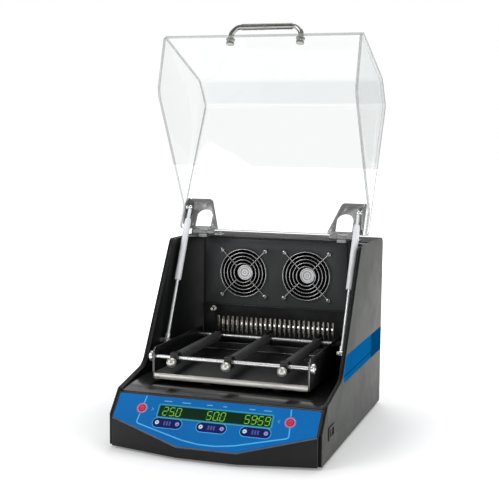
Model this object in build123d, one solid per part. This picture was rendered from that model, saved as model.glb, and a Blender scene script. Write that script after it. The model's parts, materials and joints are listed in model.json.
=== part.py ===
from build123d import *
import os
import math

# Benchtop incubating orbital shaker, lid open.
# Drawing frame (mm): X to the right, Y from the front edge of the side plates to the back,
# Z up from the underside of the housing.  Everything is moved by SHIFT when it is written, so
# that the row's origin is on the ground, in the middle of the whole machine's footprint.

W = 360.0                 # width over the side plates
HW = W / 2
DEPTH = 443.0             # side plate, front edge to back edge
TOP = 318.0               # top of the housing
FOOT_H = 4.0              # rubber foot below the housing
Y_MID = 207.5             # middle of the footprint in the drawing frame
SHIFT = (0.0, -Y_MID, FOOT_H)

# side plate profile (Y, Z)
P0 = (0.0, 0.0)
P1 = (0.0, 52.0)
P2 = (32.0, 88.5)
P34 = (129.0, 109.0)
P5 = (253.0, TOP)
P6 = (DEPTH, TOP)
P9 = (DEPTH, 0.0)
R34, R5, R6 = 34.0, 12.0, 14.0

SIDE_IN = 174.4           # inner face of a side plate
TUB_IN = 172.0            # inner face of the chamber wall
TUB_OUT = 174.2
DECK_Z = 90.8             # glossy deck of the chamber, flat part
DECK_F = (27.4, 83.2)     # front edge of the deck, which falls towards the front
DECK_Y = 78.0             # where its slope ends
REAR_Y = 332.0            # inner face of the chamber's rear wall
BULGE = 31.0              # how far the faceted front stands forward
FACET_X = 50.0            # half width of the middle facet

# lid, as closed: outer corners of the bent sheet (Y, Z)
LID_T = 5.0
G0 = (22.8, 96.5)
G1 = (0.1, 277.9)
G2 = (26.1, 334.1)
LID_REAR_Y = 293.0
HINGE = (300.5, 327.3)    # lid hinge axis (Y, Z)
LID_OPEN = 118.8          # opening angle, degrees

# gas struts, lid open
STRUT_X = 161.0
STRUT_B = (196.0, 138.0)  # lower pivot
STRUT_U = (307.4, 371.6)  # upper pivot
CYL_R, ROD_R = 6.0, 2.75
CYL_S0, CYL_S1 = 115.6, 236.0

# orbit drive
SPINDLE = (0.0, 184.0)    # main spindle axis (X, Y)
ECC = 9.5                 # eccentricity: 19 mm orbit
IDLER_X = 105.0
MOTOR = (70.0, 290.0)
PULLEY_R, PINION_R = 58.0, 13.0

# platform
TRAY_X = 137.0            # outer face of the tray's side plates
TRAY_Y0, TRAY_Y1 = 78.0, 309.0
TRAY_Z0, FLOOR_Z, TRAY_TOP = 97.0, 107.0, 150.0
ROD_Z, ROD_YF, ROD_YR, CROD_R = 134.0, 86.0, 301.0, 3.2
BARS = [(-99.5, "1"), (-3.3, "2"), (93.2, "3")]
SLEEVE_R = 8.5

# fans
FAN_X, FAN_Z, FAN_R = 61.0, 250.5, 44.0
FAN_HOLE = 42.5           # half the pitch of the fan's fixing holes

# control slope
SLOPE = math.atan2(P2[1] - P1[1], P2[0] - P1[0])
CS, SN = math.cos(SLOPE), math.sin(SLOPE)
SLOPE_PL = Plane(origin=(0, P2[0], P2[1]), x_dir=(1, 0, 0), z_dir=(0, -SN, CS))
RED_KEYS = [(-125.7, 33.3), (125.7, 33.3)]
NAVY_KEYS = [(-93.0, 56.0), (-58.0, 56.0), (-17.8, 56.0), (17.8, 56.0), (56.0, 56.0), (91.0, 56.0)]
DISP = (-95.0, 95.0, 25.5, 44.5)

# mains switch on the right side
SW_Y, SW_Z = 54.0, 43.0

os.makedirs("parts", exist_ok=True)
NODES = {}


def node(name, *solids):
    """Collect the solids of one node, move them to the row's frame and write them."""
    out = []
    for s in solids:
        for q in (s.solids() if hasattr(s, "solids") else [s]):
            out.append(q.moved(Location(SHIFT)))
    shape = out[0] if len(out) == 1 else Compound(children=out)
    export_step(shape, f"parts/{name}.step")
    NODES[name] = shape
    return shape


# ------------------------------------------------------------------ helpers
def wire2d(pts, radii=None):
    n = len(pts)
    radii = radii or [0] * n
    seg = []
    for i in range(n):
        p, a, b = Vector(*pts[i]), Vector(*pts[i - 1]), Vector(*pts[(i + 1) % n])
        r = radii[i]
        if r <= 0:
            seg.append((p, None, p))
            continue
        d1, d2 = (a - p).normalized(), (b - p).normalized()
        ang = math.acos(max(-1.0, min(1.0, d1.dot(d2))))
        t = r / math.tan(ang / 2)
        seg.append((p + d1 * t, p + (d1 + d2).normalized() * (r / math.sin(ang / 2) - r), p + d2 * t))
    edges = []
    for i in range(n):
        s, m, e = seg[i]
        if m is not None:
            edges.append(Edge.make_three_point_arc(s, m, e))
        nxt = seg[(i + 1) % n][0]
        if (nxt - e).length > 1e-6:
            edges.append(Edge.make_line(e, nxt))
    return Wire(edges)


def prism(plane, pts, radii, h):
    return extrude(plane * Face(wire2d(pts, radii)), amount=h, dir=plane.z_dir).solid()


def prism_x(pts, x0, x1, radii=None):
    return prism(Plane.YZ.offset(x0), pts, radii, x1 - x0)


def prism_y(pts, y0, y1, radii=None):
    return prism(Plane.XZ.offset(-y1), pts, radii, y1 - y0)


def prism_z(pts, z0, z1, radii=None):
    return prism(Plane.XY.offset(z0), pts, radii, z1 - z0)


def box(x0, x1, y0, y1, z0, z1):
    return Pos((x0 + x1) / 2, (y0 + y1) / 2, (z0 + z1) / 2) * Box(x1 - x0, y1 - y0, z1 - z0)


def cyl_z(x, y, r, z0, z1):
    return Pos(x, y, (z0 + z1) / 2) * Cylinder(r, z1 - z0)


def cyl_x(y, z, r, x0, x1):
    return Pos((x0 + x1) / 2, y, z) * Rot(0, 90, 0) * Cylinder(r, x1 - x0)


def cyl_y(x, z, r, y0, y1):
    return Pos(x, (y0 + y1) / 2, z) * Rot(90, 0, 0) * Cylinder(r, y1 - y0)


def on_slope(x, s, off=0.0):
    """A point on the control slope: s down the slope from its upper edge."""
    return (x, P2[0] - s * CS - off * SN, P2[1] - s * SN + off * CS)


def slope_cyl(x, s, r, o0, o1):
    return SLOPE_PL * Pos(x, -s, (o0 + o1) / 2) * Cylinder(r, o1 - o0)


def slope_box(x0, x1, s0, s1, o0, o1):
    return SLOPE_PL * Pos((x0 + x1) / 2, -(s0 + s1) / 2, (o0 + o1) / 2) * Box(x1 - x0, s1 - s0, o1 - o0)


def mirror_x(shape):
    return mirror(shape, about=Plane.YZ)


def offset_line(a, b, d):
    ux, uy = b[0] - a[0], b[1] - a[1]
    n = math.hypot(ux, uy)
    nx, ny = -uy / n * d, ux / n * d
    return (a[0] + nx, a[1] + ny), (b[0] + nx, b[1] + ny)


def meet(l1, l2):
    (x1, y1), (x2, y2) = l1
    (x3, y3), (x4, y4) = l2
    d = (x1 - x2) * (y3 - y4) - (y1 - y2) * (x3 - x4)
    a, b = x1 * y2 - y1 * x2, x3 * y4 - y3 * x4
    return ((a * (x3 - x4) - (x1 - x2) * b) / d, (a * (y3 - y4) - (y1 - y2) * b) / d)


# ------------------------------------------------------------------ side plates
PROFILE = [P0, P1, P2, P34, P5, P6, P9]
PROFILE_R = [3, 2, 3, R34, R5, R6, 6]
side = prism_x(PROFILE, SIDE_IN, HW, PROFILE_R)
switch_hole = box(SIDE_IN - 1, HW + 1, SW_Y - 14.6, SW_Y + 14.6, SW_Z - 7.6, SW_Z + 7.6)
node("side_panels", side - switch_hole, mirror_x(side))

film = prism_x([(139, 102), (442, 102), (442, 146), (154, 146), (135.5, 115.5)], HW, HW + 0.3)
node("side_graphics", film, mirror_x(film))

# ------------------------------------------------------------------ faceted front
xf = SIDE_IN - 0.2
yf = -4.2                 # how far the moulding stands forward at the side plates
outer = prism_z([(-xf, yf), (-FACET_X, -BULGE), (FACET_X, -BULGE), (xf, yf), (xf, 32), (-xf, 32)], 0, P2[1])
inner = prism_z([(-xf + 3, yf + 3.2), (-FACET_X + 0.6, -BULGE + 3), (FACET_X - 0.6, -BULGE + 3), (xf - 3, yf + 3.2),
                 (xf - 3, 33), (-xf + 3, 33)], 3, P2[1] + 1)
above = slope_box(-200, 200, -80, 180, 0, 90)
above_in = slope_box(-200, 200, -80, 180, -3, 90)
dk = (DECK_Z - DECK_F[1]) / (DECK_Y - DECK_F[0])


def deck_z(y):
    """Height of the sloping part of the deck."""
    return DECK_F[1] + (y - DECK_F[0]) * dk


def above_deck(off):
    return prism_x([(0, deck_z(0) + off), (60, deck_z(60) + off), (60, 160), (0, 160)], -200, 200)


fascia = outer - above - above_deck(0) - (inner - above_in - above_deck(-2.8))
for x in (-130, 130):
    for s in (19, 59):
        fascia += slope_cyl(x, s, 3.5, -9, -2.5)
fascia -= slope_box(DISP[0], DISP[1], DISP[2], DISP[3], -4, 1)
for x, s in RED_KEYS:
    fascia -= slope_cyl(x, s, 6.8, -4, 1)
for x, s in NAVY_KEYS:
    fascia -= slope_cyl(x, s, 5.2, -4, 1)
node("front_fascia", fascia)

# membrane overlay on the slope, with its openings
ov_pts = [(-171.5, -9.5), (171.5, -9.5), (171.5, -53.4), (FACET_X, -92.6), (-FACET_X, -92.6), (-171.5, -53.4)]
overlay = prism(SLOPE_PL, ov_pts, [3, 3, 3, 6, 6, 3], 0.8)
overlay -= slope_box(DISP[0], DISP[1], DISP[2], DISP[3], -1, 2)
for x, s in RED_KEYS:
    overlay -= slope_cyl(x, s, 6.8, -1, 2)
for x, s in NAVY_KEYS:
    overlay -= slope_cyl(x, s, 5.2, -1, 2)
node("control_overlay", overlay)
node("display_window", slope_box(DISP[0], DISP[1], DISP[2], DISP[3], -0.4, 0.8))

# keys: cap, retaining flange under the fascia skin, stem to the dome on the board
for i, (x, s) in enumerate(RED_KEYS):
    key = slope_cyl(x, s, 6.4, -4.4, 1.4) + slope_cyl(x, s, 8.2, -4.6, -3.5) + slope_cyl(x, s, 2.2, -7.9, -4.4)
    node("key_start_" + ("left" if i == 0 else "right"), key)
for i, (x, s) in enumerate(NAVY_KEYS):
    key = slope_cyl(x, s, 4.8, -4.4, 1.4) + slope_cyl(x, s, 6.4, -4.6, -3.5) + slope_cyl(x, s, 2.0, -7.9, -4.4)
    node(f"key_set_{i + 1}", key)

# control board with display module and key domes
board = slope_box(-140, 140, 17, 62, -10.6, -9.0) + slope_box(-94, 94, 26.5, 43.5, -9.0, -1.0)
for x, s in RED_KEYS + NAVY_KEYS:
    board += slope_cyl(x, s, 3.0, -9.2, -8.6)
board += slope_box(-120, -60, 24, 58, -16, -10.6) + slope_box(20, 70, 28, 56, -14, -10.6)
node("control_board", board)

# ------------------------------------------------------------------ base pan and feet
pan = box(-TUB_OUT, TUB_OUT, 33, 440, 0, 2)
pan += box(-TUB_OUT, -TUB_OUT + 2, 33, 440, 0, 18) + box(TUB_OUT - 2, TUB_OUT, 33, 440, 0, 18)
pan += box(-TUB_OUT, TUB_OUT, 438, 440, 0, 18)
node("base_pan", pan)
FEET = [(-150, 44), (150, 44), (-150, 420), (150, 420)]
node("feet", *[cyl_z(x, y, 13, -FOOT_H, 0) - cyl_z(x, y, 4, -FOOT_H, -1.6) for x, y in FEET])

# ------------------------------------------------------------------ chamber tub
tub_prof = [(33, 80.5), (33, 88.2), (129.5, 107.4), (252.5, 316.6), (REAR_Y + 2, 316.6), (REAR_Y + 2, 87)]
wall = prism_x(tub_prof, TUB_IN, TUB_OUT, [0, 0, R34, R5, 0, 0])
tub = wall + mirror_x(wall) + prism_x([(33, deck_z(33) - 2.5), (33, deck_z(33)), (DECK_Y, DECK_Z), (REAR_Y + 2, DECK_Z),
                                       (REAR_Y + 2, DECK_Z - 2.5), (DECK_Y, DECK_Z - 2.5)], -TUB_OUT, TUB_OUT)
tub += box(-TUB_OUT, TUB_OUT, REAR_Y, REAR_Y + 2, DECK_Z - 2.5, 316.6)
corner = prism_z([(TUB_IN + 1, 302), (TUB_IN + 1, REAR_Y + 1), (142, REAR_Y + 1), (142, REAR_Y)], DECK_Z - 0.5, 316.6)
tub += corner + mirror_x(corner)
for sx in (-1, 1):
    tub -= cyl_y(sx * FAN_X, FAN_Z, FAN_R, REAR_Y - 1, REAR_Y + 3)
for i in range(25):
    x = (i - 12) * 9.3
    tub -= box(x - 2.3, x + 2.3, REAR_Y - 1, REAR_Y + 3, 133, 166)
POSTS = [(-62.0, 140.0), (62.0, 140.0), (0.0, 262.0)]
for x, y in POSTS:
    tub -= cyl_z(x, y - ECC, 24, 80, 95)
tub -= cyl_y(-120, 180, 2.6, REAR_Y - 1, REAR_Y + 3)
node("chamber_tub", tub)

panel = box(-137, 137, REAR_Y - 2, REAR_Y, 190, 314)
for sx in (-1, 1):
    panel -= cyl_y(sx * FAN_X, FAN_Z, FAN_R, REAR_Y - 3, REAR_Y + 1)
panel += box(-137, 137, REAR_Y - 8, REAR_Y, 188, 190)
node("fan_panel", panel)

# ------------------------------------------------------------------ rear cover
cov = prism_x([(REAR_Y + 2, TOP), (REAR_Y + 2, TOP - 2), (DEPTH - 2, TOP - 2), (DEPTH - 2, 0), (DEPTH, 0), (DEPTH, TOP)],
              -SIDE_IN + 0.2, SIDE_IN - 0.2, [0, 0, 12, 0, 0, 14])
cov += box(-SIDE_IN + 0.2, SIDE_IN - 0.2, REAR_Y, REAR_Y + 2.2, 316.6, TOP)
for i in range(9):
    z = 122 + i * 8
    cov -= box(-110, 110, DEPTH - 3, DEPTH + 1, z, z + 4)
cov -= box(-134, -106, DEPTH - 3, DEPTH + 1, 36, 56)
node("rear_cover", cov)

# mains inlet (three pins) in the rear cover
inlet = box(-140, -100, DEPTH, DEPTH + 2.5, 32, 60) + box(-133.8, -106.2, DEPTH - 20, DEPTH, 36.2, 55.8)
inlet -= box(-131.5, -108.5, DEPTH - 16, DEPTH + 3, 38.5, 53.5)
for px in (-127, -120, -113):
    inlet += box(px - 1, px + 1, DEPTH - 17, DEPTH - 3, 44 + (3 if px == -120 else 0), 48 + (3 if px == -120 else 0))
node("power_inlet", inlet)

# ------------------------------------------------------------------ mains switch, right side
PVX = 175.0
swh = box(HW, HW + 2, SW_Y - 18, SW_Y + 18, SW_Z - 10.5, SW_Z + 10.5)
swh += box(156, HW, SW_Y - 14.4, SW_Y + 14.4, SW_Z - 7.4, SW_Z + 7.4)
swh -= box(168, HW + 3, SW_Y - 13, SW_Y + 13, SW_Z - 6.1, SW_Z + 6.1)
swh -= cyl_z(PVX, SW_Y, 1.55, SW_Z - 7.0, SW_Z + 7.0)
for sy in (-6, 0, 6):
    swh += box(148, 156.5, SW_Y + sy - 0.5, SW_Y + sy + 0.5, SW_Z - 2.5, SW_Z + 2.5)
node("power_switch_housing", swh)
rk = prism_z([(PVX - 2.0, SW_Y - 13), (PVX + 8.6, SW_Y - 13), (PVX + 6.0, SW_Y), (PVX + 4.6, SW_Y + 13), (PVX - 2.0, SW_Y + 13)],
             SW_Z - 5.7, SW_Z + 5.7)
rk = rk & cyl_z(PVX, SW_Y, 12.7, SW_Z - 6, SW_Z + 6)
rk += cyl_z(PVX, SW_Y, 1.5, SW_Z - 6.8, SW_Z + 6.8)
node("power_rocker", rk)

# ------------------------------------------------------------------ fans
guards, frames, scr = [], [], []
for sx in (-1, 1):
    cx = sx * FAN_X
    g = None
    for r in (18.2, 24.8, 31.4, 38.0, 44.6):
        t = Pos(cx, REAR_Y - 6.5, FAN_Z) * Rot(90, 0, 0) * Torus(r, 1.0)
        g = t if g is None else g + t
    for a in (45, 135, 225, 315):
        dx, dz = math.cos(math.radians(a)), math.sin(math.radians(a))
        mid = 37.5
        arm = Pos(cx + dx * mid, REAR_Y - 5.3, FAN_Z + dz * mid) * Rot(0, -a, 0) * Rot(0, 90, 0) * Cylinder(1.15, 39)
        g = g + arm
        tab = cyl_y(cx + dx * FAN_HOLE * math.sqrt(2), FAN_Z + dz * FAN_HOLE * math.sqrt(2), 3.8, REAR_Y - 6.4, REAR_Y - 4.4)
        g = g + tab
        post = cyl_y(cx + dx * FAN_HOLE * math.sqrt(2), FAN_Z + dz * FAN_HOLE * math.sqrt(2), 3.0, REAR_Y - 4.5, REAR_Y - 2)
        g = g + post
        scr.append(cyl_y(cx + dx * FAN_HOLE * math.sqrt(2), FAN_Z + dz * FAN_HOLE * math.sqrt(2), 3.2, REAR_Y - 9.4, REAR_Y - 6.8))
    guards.append(g)
    f = box(cx - 46, cx + 46, REAR_Y + 2, REAR_Y + 27, FAN_Z - 46, FAN_Z + 46) - cyl_y(cx, FAN_Z, FAN_R, REAR_Y + 1, REAR_Y + 28)
    for a in (0, 90, 180, 270):
        f += Pos(cx, REAR_Y + 25.5, FAN_Z) * Rot(0, a + 30, 0) * Pos(30, 0, 0) * Box(32, 3, 4)
    f += cyl_y(cx, FAN_Z, 17, REAR_Y + 22, REAR_Y + 27)
    f -= cyl_y(cx, FAN_Z, 2.05, REAR_Y + 20, REAR_Y + 26)
    frames.append(f)
    imp = cyl_y(cx, FAN_Z, 15.5, REAR_Y + 3, REAR_Y + 19) + cyl_y(cx, FAN_Z, 2.0, REAR_Y + 18, REAR_Y + 25.5)
    for b in range(7):
        blade = Rot(0, b * 360 / 7, 0) * Pos(28.4, 0, 0) * Rot(35, 0, 0) * Box(27.6, 1.6, 19)
        imp += Pos(cx, REAR_Y + 11, FAN_Z) * blade
    node("fan_impeller_" + ("left" if sx < 0 else "right"), imp)
node("fan_guards", *guards)
node("fan_frames", *frames)

# heater behind the slots, temperature probe, supply, screws
heater = cyl_x(347, 142, 4, -113, 113) + cyl_x(347, 160, 4, -113, 113) + box(113, 117, 340, 353, 136, 166)
for i in range(25):
    x = (i - 12) * 9.3
    heater += box(x - 0.8, x + 0.8, 335.5, 355, 134, 168)
heater += box(-124, -113, REAR_Y + 2, 352, 136, 166)
node("air_heater", heater)
node("temperature_probe", cyl_y(-120, 180, 2.5, REAR_Y - 16, REAR_Y + 16) + cyl_y(-120, 180, 5, REAR_Y - 3, REAR_Y)
     + cyl_y(-120, 180, 5, REAR_Y + 2, REAR_Y + 5))
supply = box(-60, 60, 392, DEPTH - 2, 40, 110)
supply += box(-50, -20, 380, 392, 50, 100) + box(0, 40, 384, 392, 60, 90)
node("power_supply", supply)
for x in (-165, 165):
    for z in (20, 110, 200, 295):
        scr.append(cyl_y(x, z, 4.0, DEPTH, DEPTH + 2.2))
node("panel_screws", *scr)

# ------------------------------------------------------------------ orbit drive under the deck
sx0, sy0 = SPINDLE
main_h = cyl_z(sx0, sy0, 34, 2, 7) + cyl_z(sx0, sy0, 20, 2, 36) - cyl_z(sx0, sy0, 8.05, 3.5, 40)
hs = [main_h]
for s in (-1, 1):
    h = cyl_z(s * IDLER_X, sy0, 26, 2, 7) + cyl_z(s * IDLER_X, sy0, 15, 2, 47) - cyl_z(s * IDLER_X, sy0, 6.05, 12, 50)
    hs.append(h)
node("spindle_housings", *hs)
crank = cyl_z(sx0, sy0, 8.0, 5, 40) + cyl_z(sx0, sy0, 61, 38, 40) + cyl_z(sx0, sy0, PULLEY_R, 40, 50) + cyl_z(sx0, sy0, 61, 50, 52)
for a in range(0, 360, 60):
    dx, dy = 37 * math.cos(math.radians(a)), 37 * math.sin(math.radians(a))
    crank -= cyl_z(sx0 + dx, sy0 + dy, 11, 37, 53)
crank += cyl_z(sx0, sy0 + ECC, 9, 52, 60.5) + cyl_z(sx0, sy0 + ECC, 6.0, 60, 69)
node("drive_crank", crank)
cw = (cyl_z(sx0, sy0, 52, 52, 60) & box(-60, 60, sy0 - 60, sy0 - 12, 50, 62)) - cyl_z(sx0, sy0 + ECC, 22, 51, 61)
node("crank_counterweight", cw)
for s, nm in ((-1, "left"), (1, "right")):
    ic = cyl_z(s * IDLER_X, sy0, 6.0, 14, 50) + cyl_z(s * IDLER_X, sy0, 17, 49, 56) + cyl_z(s * IDLER_X, sy0 + ECC, 7, 56, 60.5)
    ic += cyl_z(s * IDLER_X, sy0 + ECC, 5.0, 60, 69)
    node("idler_crank_" + nm, ic)
mx, my = MOTOR
motor = cyl_z(mx, my, 30, 5, 33) - cyl_z(mx, my, 4.05, 24, 34)
motor += box(mx - 12, mx + 12, my + 26, my + 36, 8, 20)
node("drive_motor", motor)
bracket = box(mx - 42, mx + 42, my - 36, my + 40, 33, 36) - cyl_z(mx, my, 12, 32, 37)
for ax in (-38, 38):
    for ay in (-31, 35):
        bracket += cyl_z(mx + ax, my + ay, 4, 2, 33)
node("motor_bracket", bracket)
pin = cyl_z(mx, my, 4.0, 25, 54) + cyl_z(mx, my, PINION_R + 3, 38, 40) + cyl_z(mx, my, PINION_R, 40, 50) + cyl_z(mx, my, PINION_R + 3, 50, 52)
node("motor_pulley", pin)


def belt_face(c1, r1, c2, r2):
    dx, dy = c2[0] - c1[0], c2[1] - c1[1]
    d = math.hypot(dx, dy)
    base = math.atan2(dy, dx)
    a = math.acos((r1 - r2) / d)
    pt = lambda c, r, t: Vector(c[0] + r * math.cos(t), c[1] + r * math.sin(t))
    t1, t2 = base + a, base - a
    e = [Edge.make_line(pt(c1, r1, t1), pt(c2, r2, t1)),
         Edge.make_three_point_arc(pt(c2, r2, t1), pt(c2, r2, base), pt(c2, r2, t2)),
         Edge.make_line(pt(c2, r2, t2), pt(c1, r1, t2)),
         Edge.make_three_point_arc(pt(c1, r1, t2), pt(c1, r1, base + math.pi), pt(c1, r1, t1))]
    return Face(Wire(e))


b_out = extrude(Plane.XY.offset(41) * belt_face(SPINDLE, PULLEY_R + 2.6, MOTOR, PINION_R + 2.6), amount=8, dir=(0, 0, 1))
b_in = extrude(Plane.XY.offset(40) * belt_face(SPINDLE, PULLEY_R + 0.35, MOTOR, PINION_R + 0.35), amount=10, dir=(0, 0, 1))
node("drive_belt", (b_out - b_in).solid())

# ------------------------------------------------------------------ platform
py = sy0 + ECC
car = prism_z([(-125, py - 20), (-62, 120), (62, 120), (125, py - 20), (125, py + 20), (30, 280), (-30, 280), (-125, py + 20)],
              64, 69, [14, 16, 16, 14, 14, 14, 14, 14])
car += cyl_z(sx0, py, 13, 61, 69) - cyl_z(sx0, py, 6.05, 60, 70)
for s in (-1, 1):
    car += cyl_z(s * IDLER_X, py, 12, 61, 69)
    car -= cyl_z(s * IDLER_X, py, 5.05, 60, 70)
car -= cyl_z(sx0, py, 6.05, 60, 70)
for x, y in POSTS:
    car += cyl_z(x, y, 8, 69, 104)
node("carriage_plate", car)

tray = box(-TRAY_X, TRAY_X, TRAY_Y0 + 3, TRAY_Y1, 104, FLOOR_Z)
sp = prism_x([(TRAY_Y0, TRAY_Z0), (TRAY_Y0, TRAY_TOP), (TRAY_Y1, TRAY_TOP), (TRAY_Y1, TRAY_Z0)], TRAY_X - 2.5, TRAY_X, [3, 9, 9, 3])
tray += sp + mirror_x(sp) + box(-TRAY_X, TRAY_X, TRAY_Y1 - 2.5, TRAY_Y1, TRAY_Z0, 120)
for y in (ROD_YF, ROD_YR):
    tray -= cyl_x(y, ROD_Z, CROD_R, -150, 150)
node("platform_tray", tray)
edge = box(-134.5, 134.5, TRAY_Y0, TRAY_Y0 + 3, TRAY_Z0, FLOOR_Z) + box(-134.5, 134.5, TRAY_Y0 + 3, TRAY_Y0 + 12, 101.5, 104)
node("tray_front_edge", edge)
node("clamp_rods", cyl_x(ROD_YF, ROD_Z, CROD_R, -TRAY_X, TRAY_X), cyl_x(ROD_YR, ROD_Z, CROD_R, -TRAY_X, TRAY_X))
kn = []
for y in (ROD_YF, ROD_YR):
    for s in (-1, 1):
        c = cyl_x(y, ROD_Z, 8.5, TRAY_X, TRAY_X + 7.5)
        kn.append(c if s > 0 else mirror_x(c))
node("rod_end_knobs", *kn)
for bx, tag in BARS:
    fb = box(bx - 6.5, bx + 6.5, 79, 95, 124.0, 143.0) - cyl_x(ROD_YF, ROD_Z, CROD_R + 0.06, -150, 150)
    rb = box(bx - 6.5, bx + 6.5, 293, 309, 124.0, 143.0) - cyl_x(ROD_YR, ROD_Z, CROD_R + 0.06, -150, 150)
    core = cyl_y(bx, ROD_Z, 3.0, 95, 293)
    ball = Pos(bx, 69.0, 129.0) * Sphere(8.2) + cyl_y(bx, 129.0, 3.5, 71, 79)
    rball = cyl_z(bx, 301, 6.0, 143.0, 150.0)
    node("clamp_bar_" + tag, fb, rb, core, ball, rball)
    node("clamp_sleeve_" + tag, cyl_y(bx, ROD_Z, SLEEVE_R, 97, 291) - cyl_y(bx, ROD_Z, 3.0, 96, 292))

# ------------------------------------------------------------------ lid, drawn closed, then opened
AX = Axis((0, HINGE[0], HINGE[1]), (1, 0, 0))


def opened(shape):
    return shape.rotate(AX, -LID_OPEN)


l_front = offset_line(G0, G1, -LID_T)
l_cham = offset_line(G1, G2, -LID_T)
l_top = offset_line(G2, (LID_REAR_Y, G2[1]), -LID_T)
I1, I2 = meet(l_front, l_cham), meet(l_cham, l_top)
I0, I3 = l_front[0], l_top[1]
shell = prism_x([G0, G1, G2, (LID_REAR_Y, G2[1]), I3, I2, I1, I0], -HW, HW, [0, 30, 14, 0, 0, 9.2, 25.2, 0])
node("lid_shell", opened(shell))
RIM = [(30.5, 90.3), (128.0, 110.8), (251.8, 319.6), (LID_REAR_Y, 319.6)]
lside = prism_x([I0, I1, I2, I3, RIM[3], RIM[2], RIM[1], RIM[0]], HW - LID_T, HW, [0, 25.2, 9.2, 0, 0, R5 - 1, R34 + 1, 0])
node("lid_sides", opened(lside), opened(mirror_x(lside)))

# bow handle on the front panel, its washers outside and nuts inside
ul = math.hypot(G1[0] - G0[0], G1[1] - G0[1])
uy, uz = (G1[0] - G0[0]) / ul, (G1[1] - G0[1]) / ul
ny, nz = -uz, uy                       # outward normal of the front panel
FP = (G0[0] + uy * 21.0, G0[1] + uz * 21.0)
h_pl = Plane(origin=(0, FP[0], FP[1]), x_dir=(1, 0, 0), z_dir=(0, uy, uz))
sgn = 1.0 if h_pl.to_local_coords(Vector(0, FP[0] + ny, FP[1] + nz)).Y > 0 else -1.0
HF = 64.0
HP = [(-HF, 2.0 * sgn), (-HF, 13.5 * sgn), (-53.5, 25.0 * sgn), (53.5, 25.0 * sgn), (HF, 13.5 * sgn), (HF, 2.0 * sgn)]
with BuildLine(h_pl) as hl:
    FilletPolyline(*HP, radius=13)
with BuildPart() as hb:
    with BuildSketch(Plane(origin=h_pl.from_local_coords(Vector(-HF, 2.0 * sgn, 0)), z_dir=h_pl.from_local_coords(Vector(0, sgn, 0)) - h_pl.origin)):
        Circle(4.7)
    sweep(path=hl.wires()[0])
bow = hb.part.solid()
g_pl = Plane(origin=h_pl.from_local_coords(Vector(-46, 25.0 * sgn, 0)), x_dir=(0, 0, 1), z_dir=(1, 0, 0))
bow += extrude(g_pl * Circle(5.9), amount=92, dir=(1, 0, 0)).solid()
wash = []
for x in (-HF, HF):
    def disc(r, o0, o1):
        p = Plane(origin=(x, FP[0] + ny * o0, FP[1] + nz * o0), x_dir=(1, 0, 0), z_dir=(0, ny, nz))
        return extrude(p * Circle(r), amount=o1 - o0).solid()
    wash += [disc(8.0, 0.0, 2.0), disc(7.0, -LID_T - 3.0, -LID_T)]
node("lid_handle", opened(bow), *[opened(w) for w in wash])

# hinge brackets on the inner face of the lid's top panel, with the flange that carries the strut
PZ1 = G2[1] - LID_T
PZ0 = PZ1 - 3.0
FL0, FL1 = 168.5, 170.7
br = prism_z([(104, 293.4), (FL1, 293.4), (FL1, 232.5), (125.5, 232.5)], PZ0, PZ1, [2, 0, 5, 8])
arch = prism_z([(119.5, 289), (150, 289), (150, 254), (119.5, 254)], PZ0 - 1, PZ1 + 1, [2, 2, 15.0, 15.0])
br -= arch
br += prism_x([(234, PZ1), (290, PZ1), (290, 312), (262, 306.5), (248, 306.5), (236, 317)], FL0, FL1, [0, 0, 4, 6, 6, 5])
for x0, x1 in ((111.0, 124.0), (141.6, 154.2)):
    br += box(x0, x1, 293, 298, PZ0, PZ1) + cyl_x(HINGE[0], HINGE[1], 4.5, x0, x1)
br -= cyl_x(HINGE[0], HINGE[1], 2.55, 100, 178)
for x, y in ((114, 284), (158, 286), (158, 243), (136, 243)):
    br += cyl_z(x, y, 3.6, PZ0 - 2.0, PZ0)
node("hinge_brackets", opened(br), opened(mirror_x(br)))

leaf = box(108, 158, REAR_Y + 3, 352, TOP, TOP + 2.5) + box(124.5, 141.1, 301, REAR_Y + 6, TOP, TOP + 5.5)
leaf += cyl_x(HINGE[0], HINGE[1], 4.5, 124.5, 141.1) + box(124.5, 141.1, 297.5, 303.5, TOP, TOP + 8)
leaf -= cyl_x(HINGE[0], HINGE[1], 2.5, 100, 178)
for x in (115, 151):
    leaf += cyl_z(x, 344, 4.0, TOP + 2.5, TOP + 4.5)
pinh = cyl_x(HINGE[0], HINGE[1], 2.5, 109.5, 154.6)
node("hinge_leaves", leaf, mirror_x(leaf), pinh, mirror_x(pinh))

# ------------------------------------------------------------------ gas struts
DY, DZ = STRUT_U[0] - STRUT_B[0], STRUT_U[1] - STRUT_B[1]
SL = math.hypot(DY, DZ)
DY, DZ = DY / SL, DZ / SL


def strut_cyl(r, s0, s1):
    p = Plane(origin=(STRUT_X, STRUT_B[0] + DY * s0, STRUT_B[1] + DZ * s0), x_dir=(1, 0, 0), z_dir=(0, DY, DZ))
    return extrude(p * Circle(r), amount=s1 - s0).solid()


rod = strut_cyl(ROD_R, 5, 155) + strut_cyl(4.7, 143, 155) + strut_cyl(4.2, 4, 14)
rod += cyl_x(STRUT_B[0], STRUT_B[1], 6.0, STRUT_X - 4.5, STRUT_X + 4.5)
rod -= cyl_x(STRUT_B[0], STRUT_B[1], 3.05, STRUT_X - 10, STRUT_X + 10)
tube = strut_cyl(CYL_R, CYL_S0, CYL_S1) - strut_cyl(5.0, CYL_S0 + 4, CYL_S1 - 4) - strut_cyl(ROD_R + 0.05, CYL_S0 - 1, CYL_S0 + 5)
tube += strut_cyl(3.2, CYL_S1, SL - 3)
tube += Pos(STRUT_X, STRUT_U[0], STRUT_U[1]) * Sphere(4.5)
tube += cyl_x(STRUT_U[0], STRUT_U[1], 3.0, STRUT_X, FL0 - 0.4) + cyl_x(STRUT_U[0], STRUT_U[1], 4.6, FL0 - 2.6, FL0 - 0.4)
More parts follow.
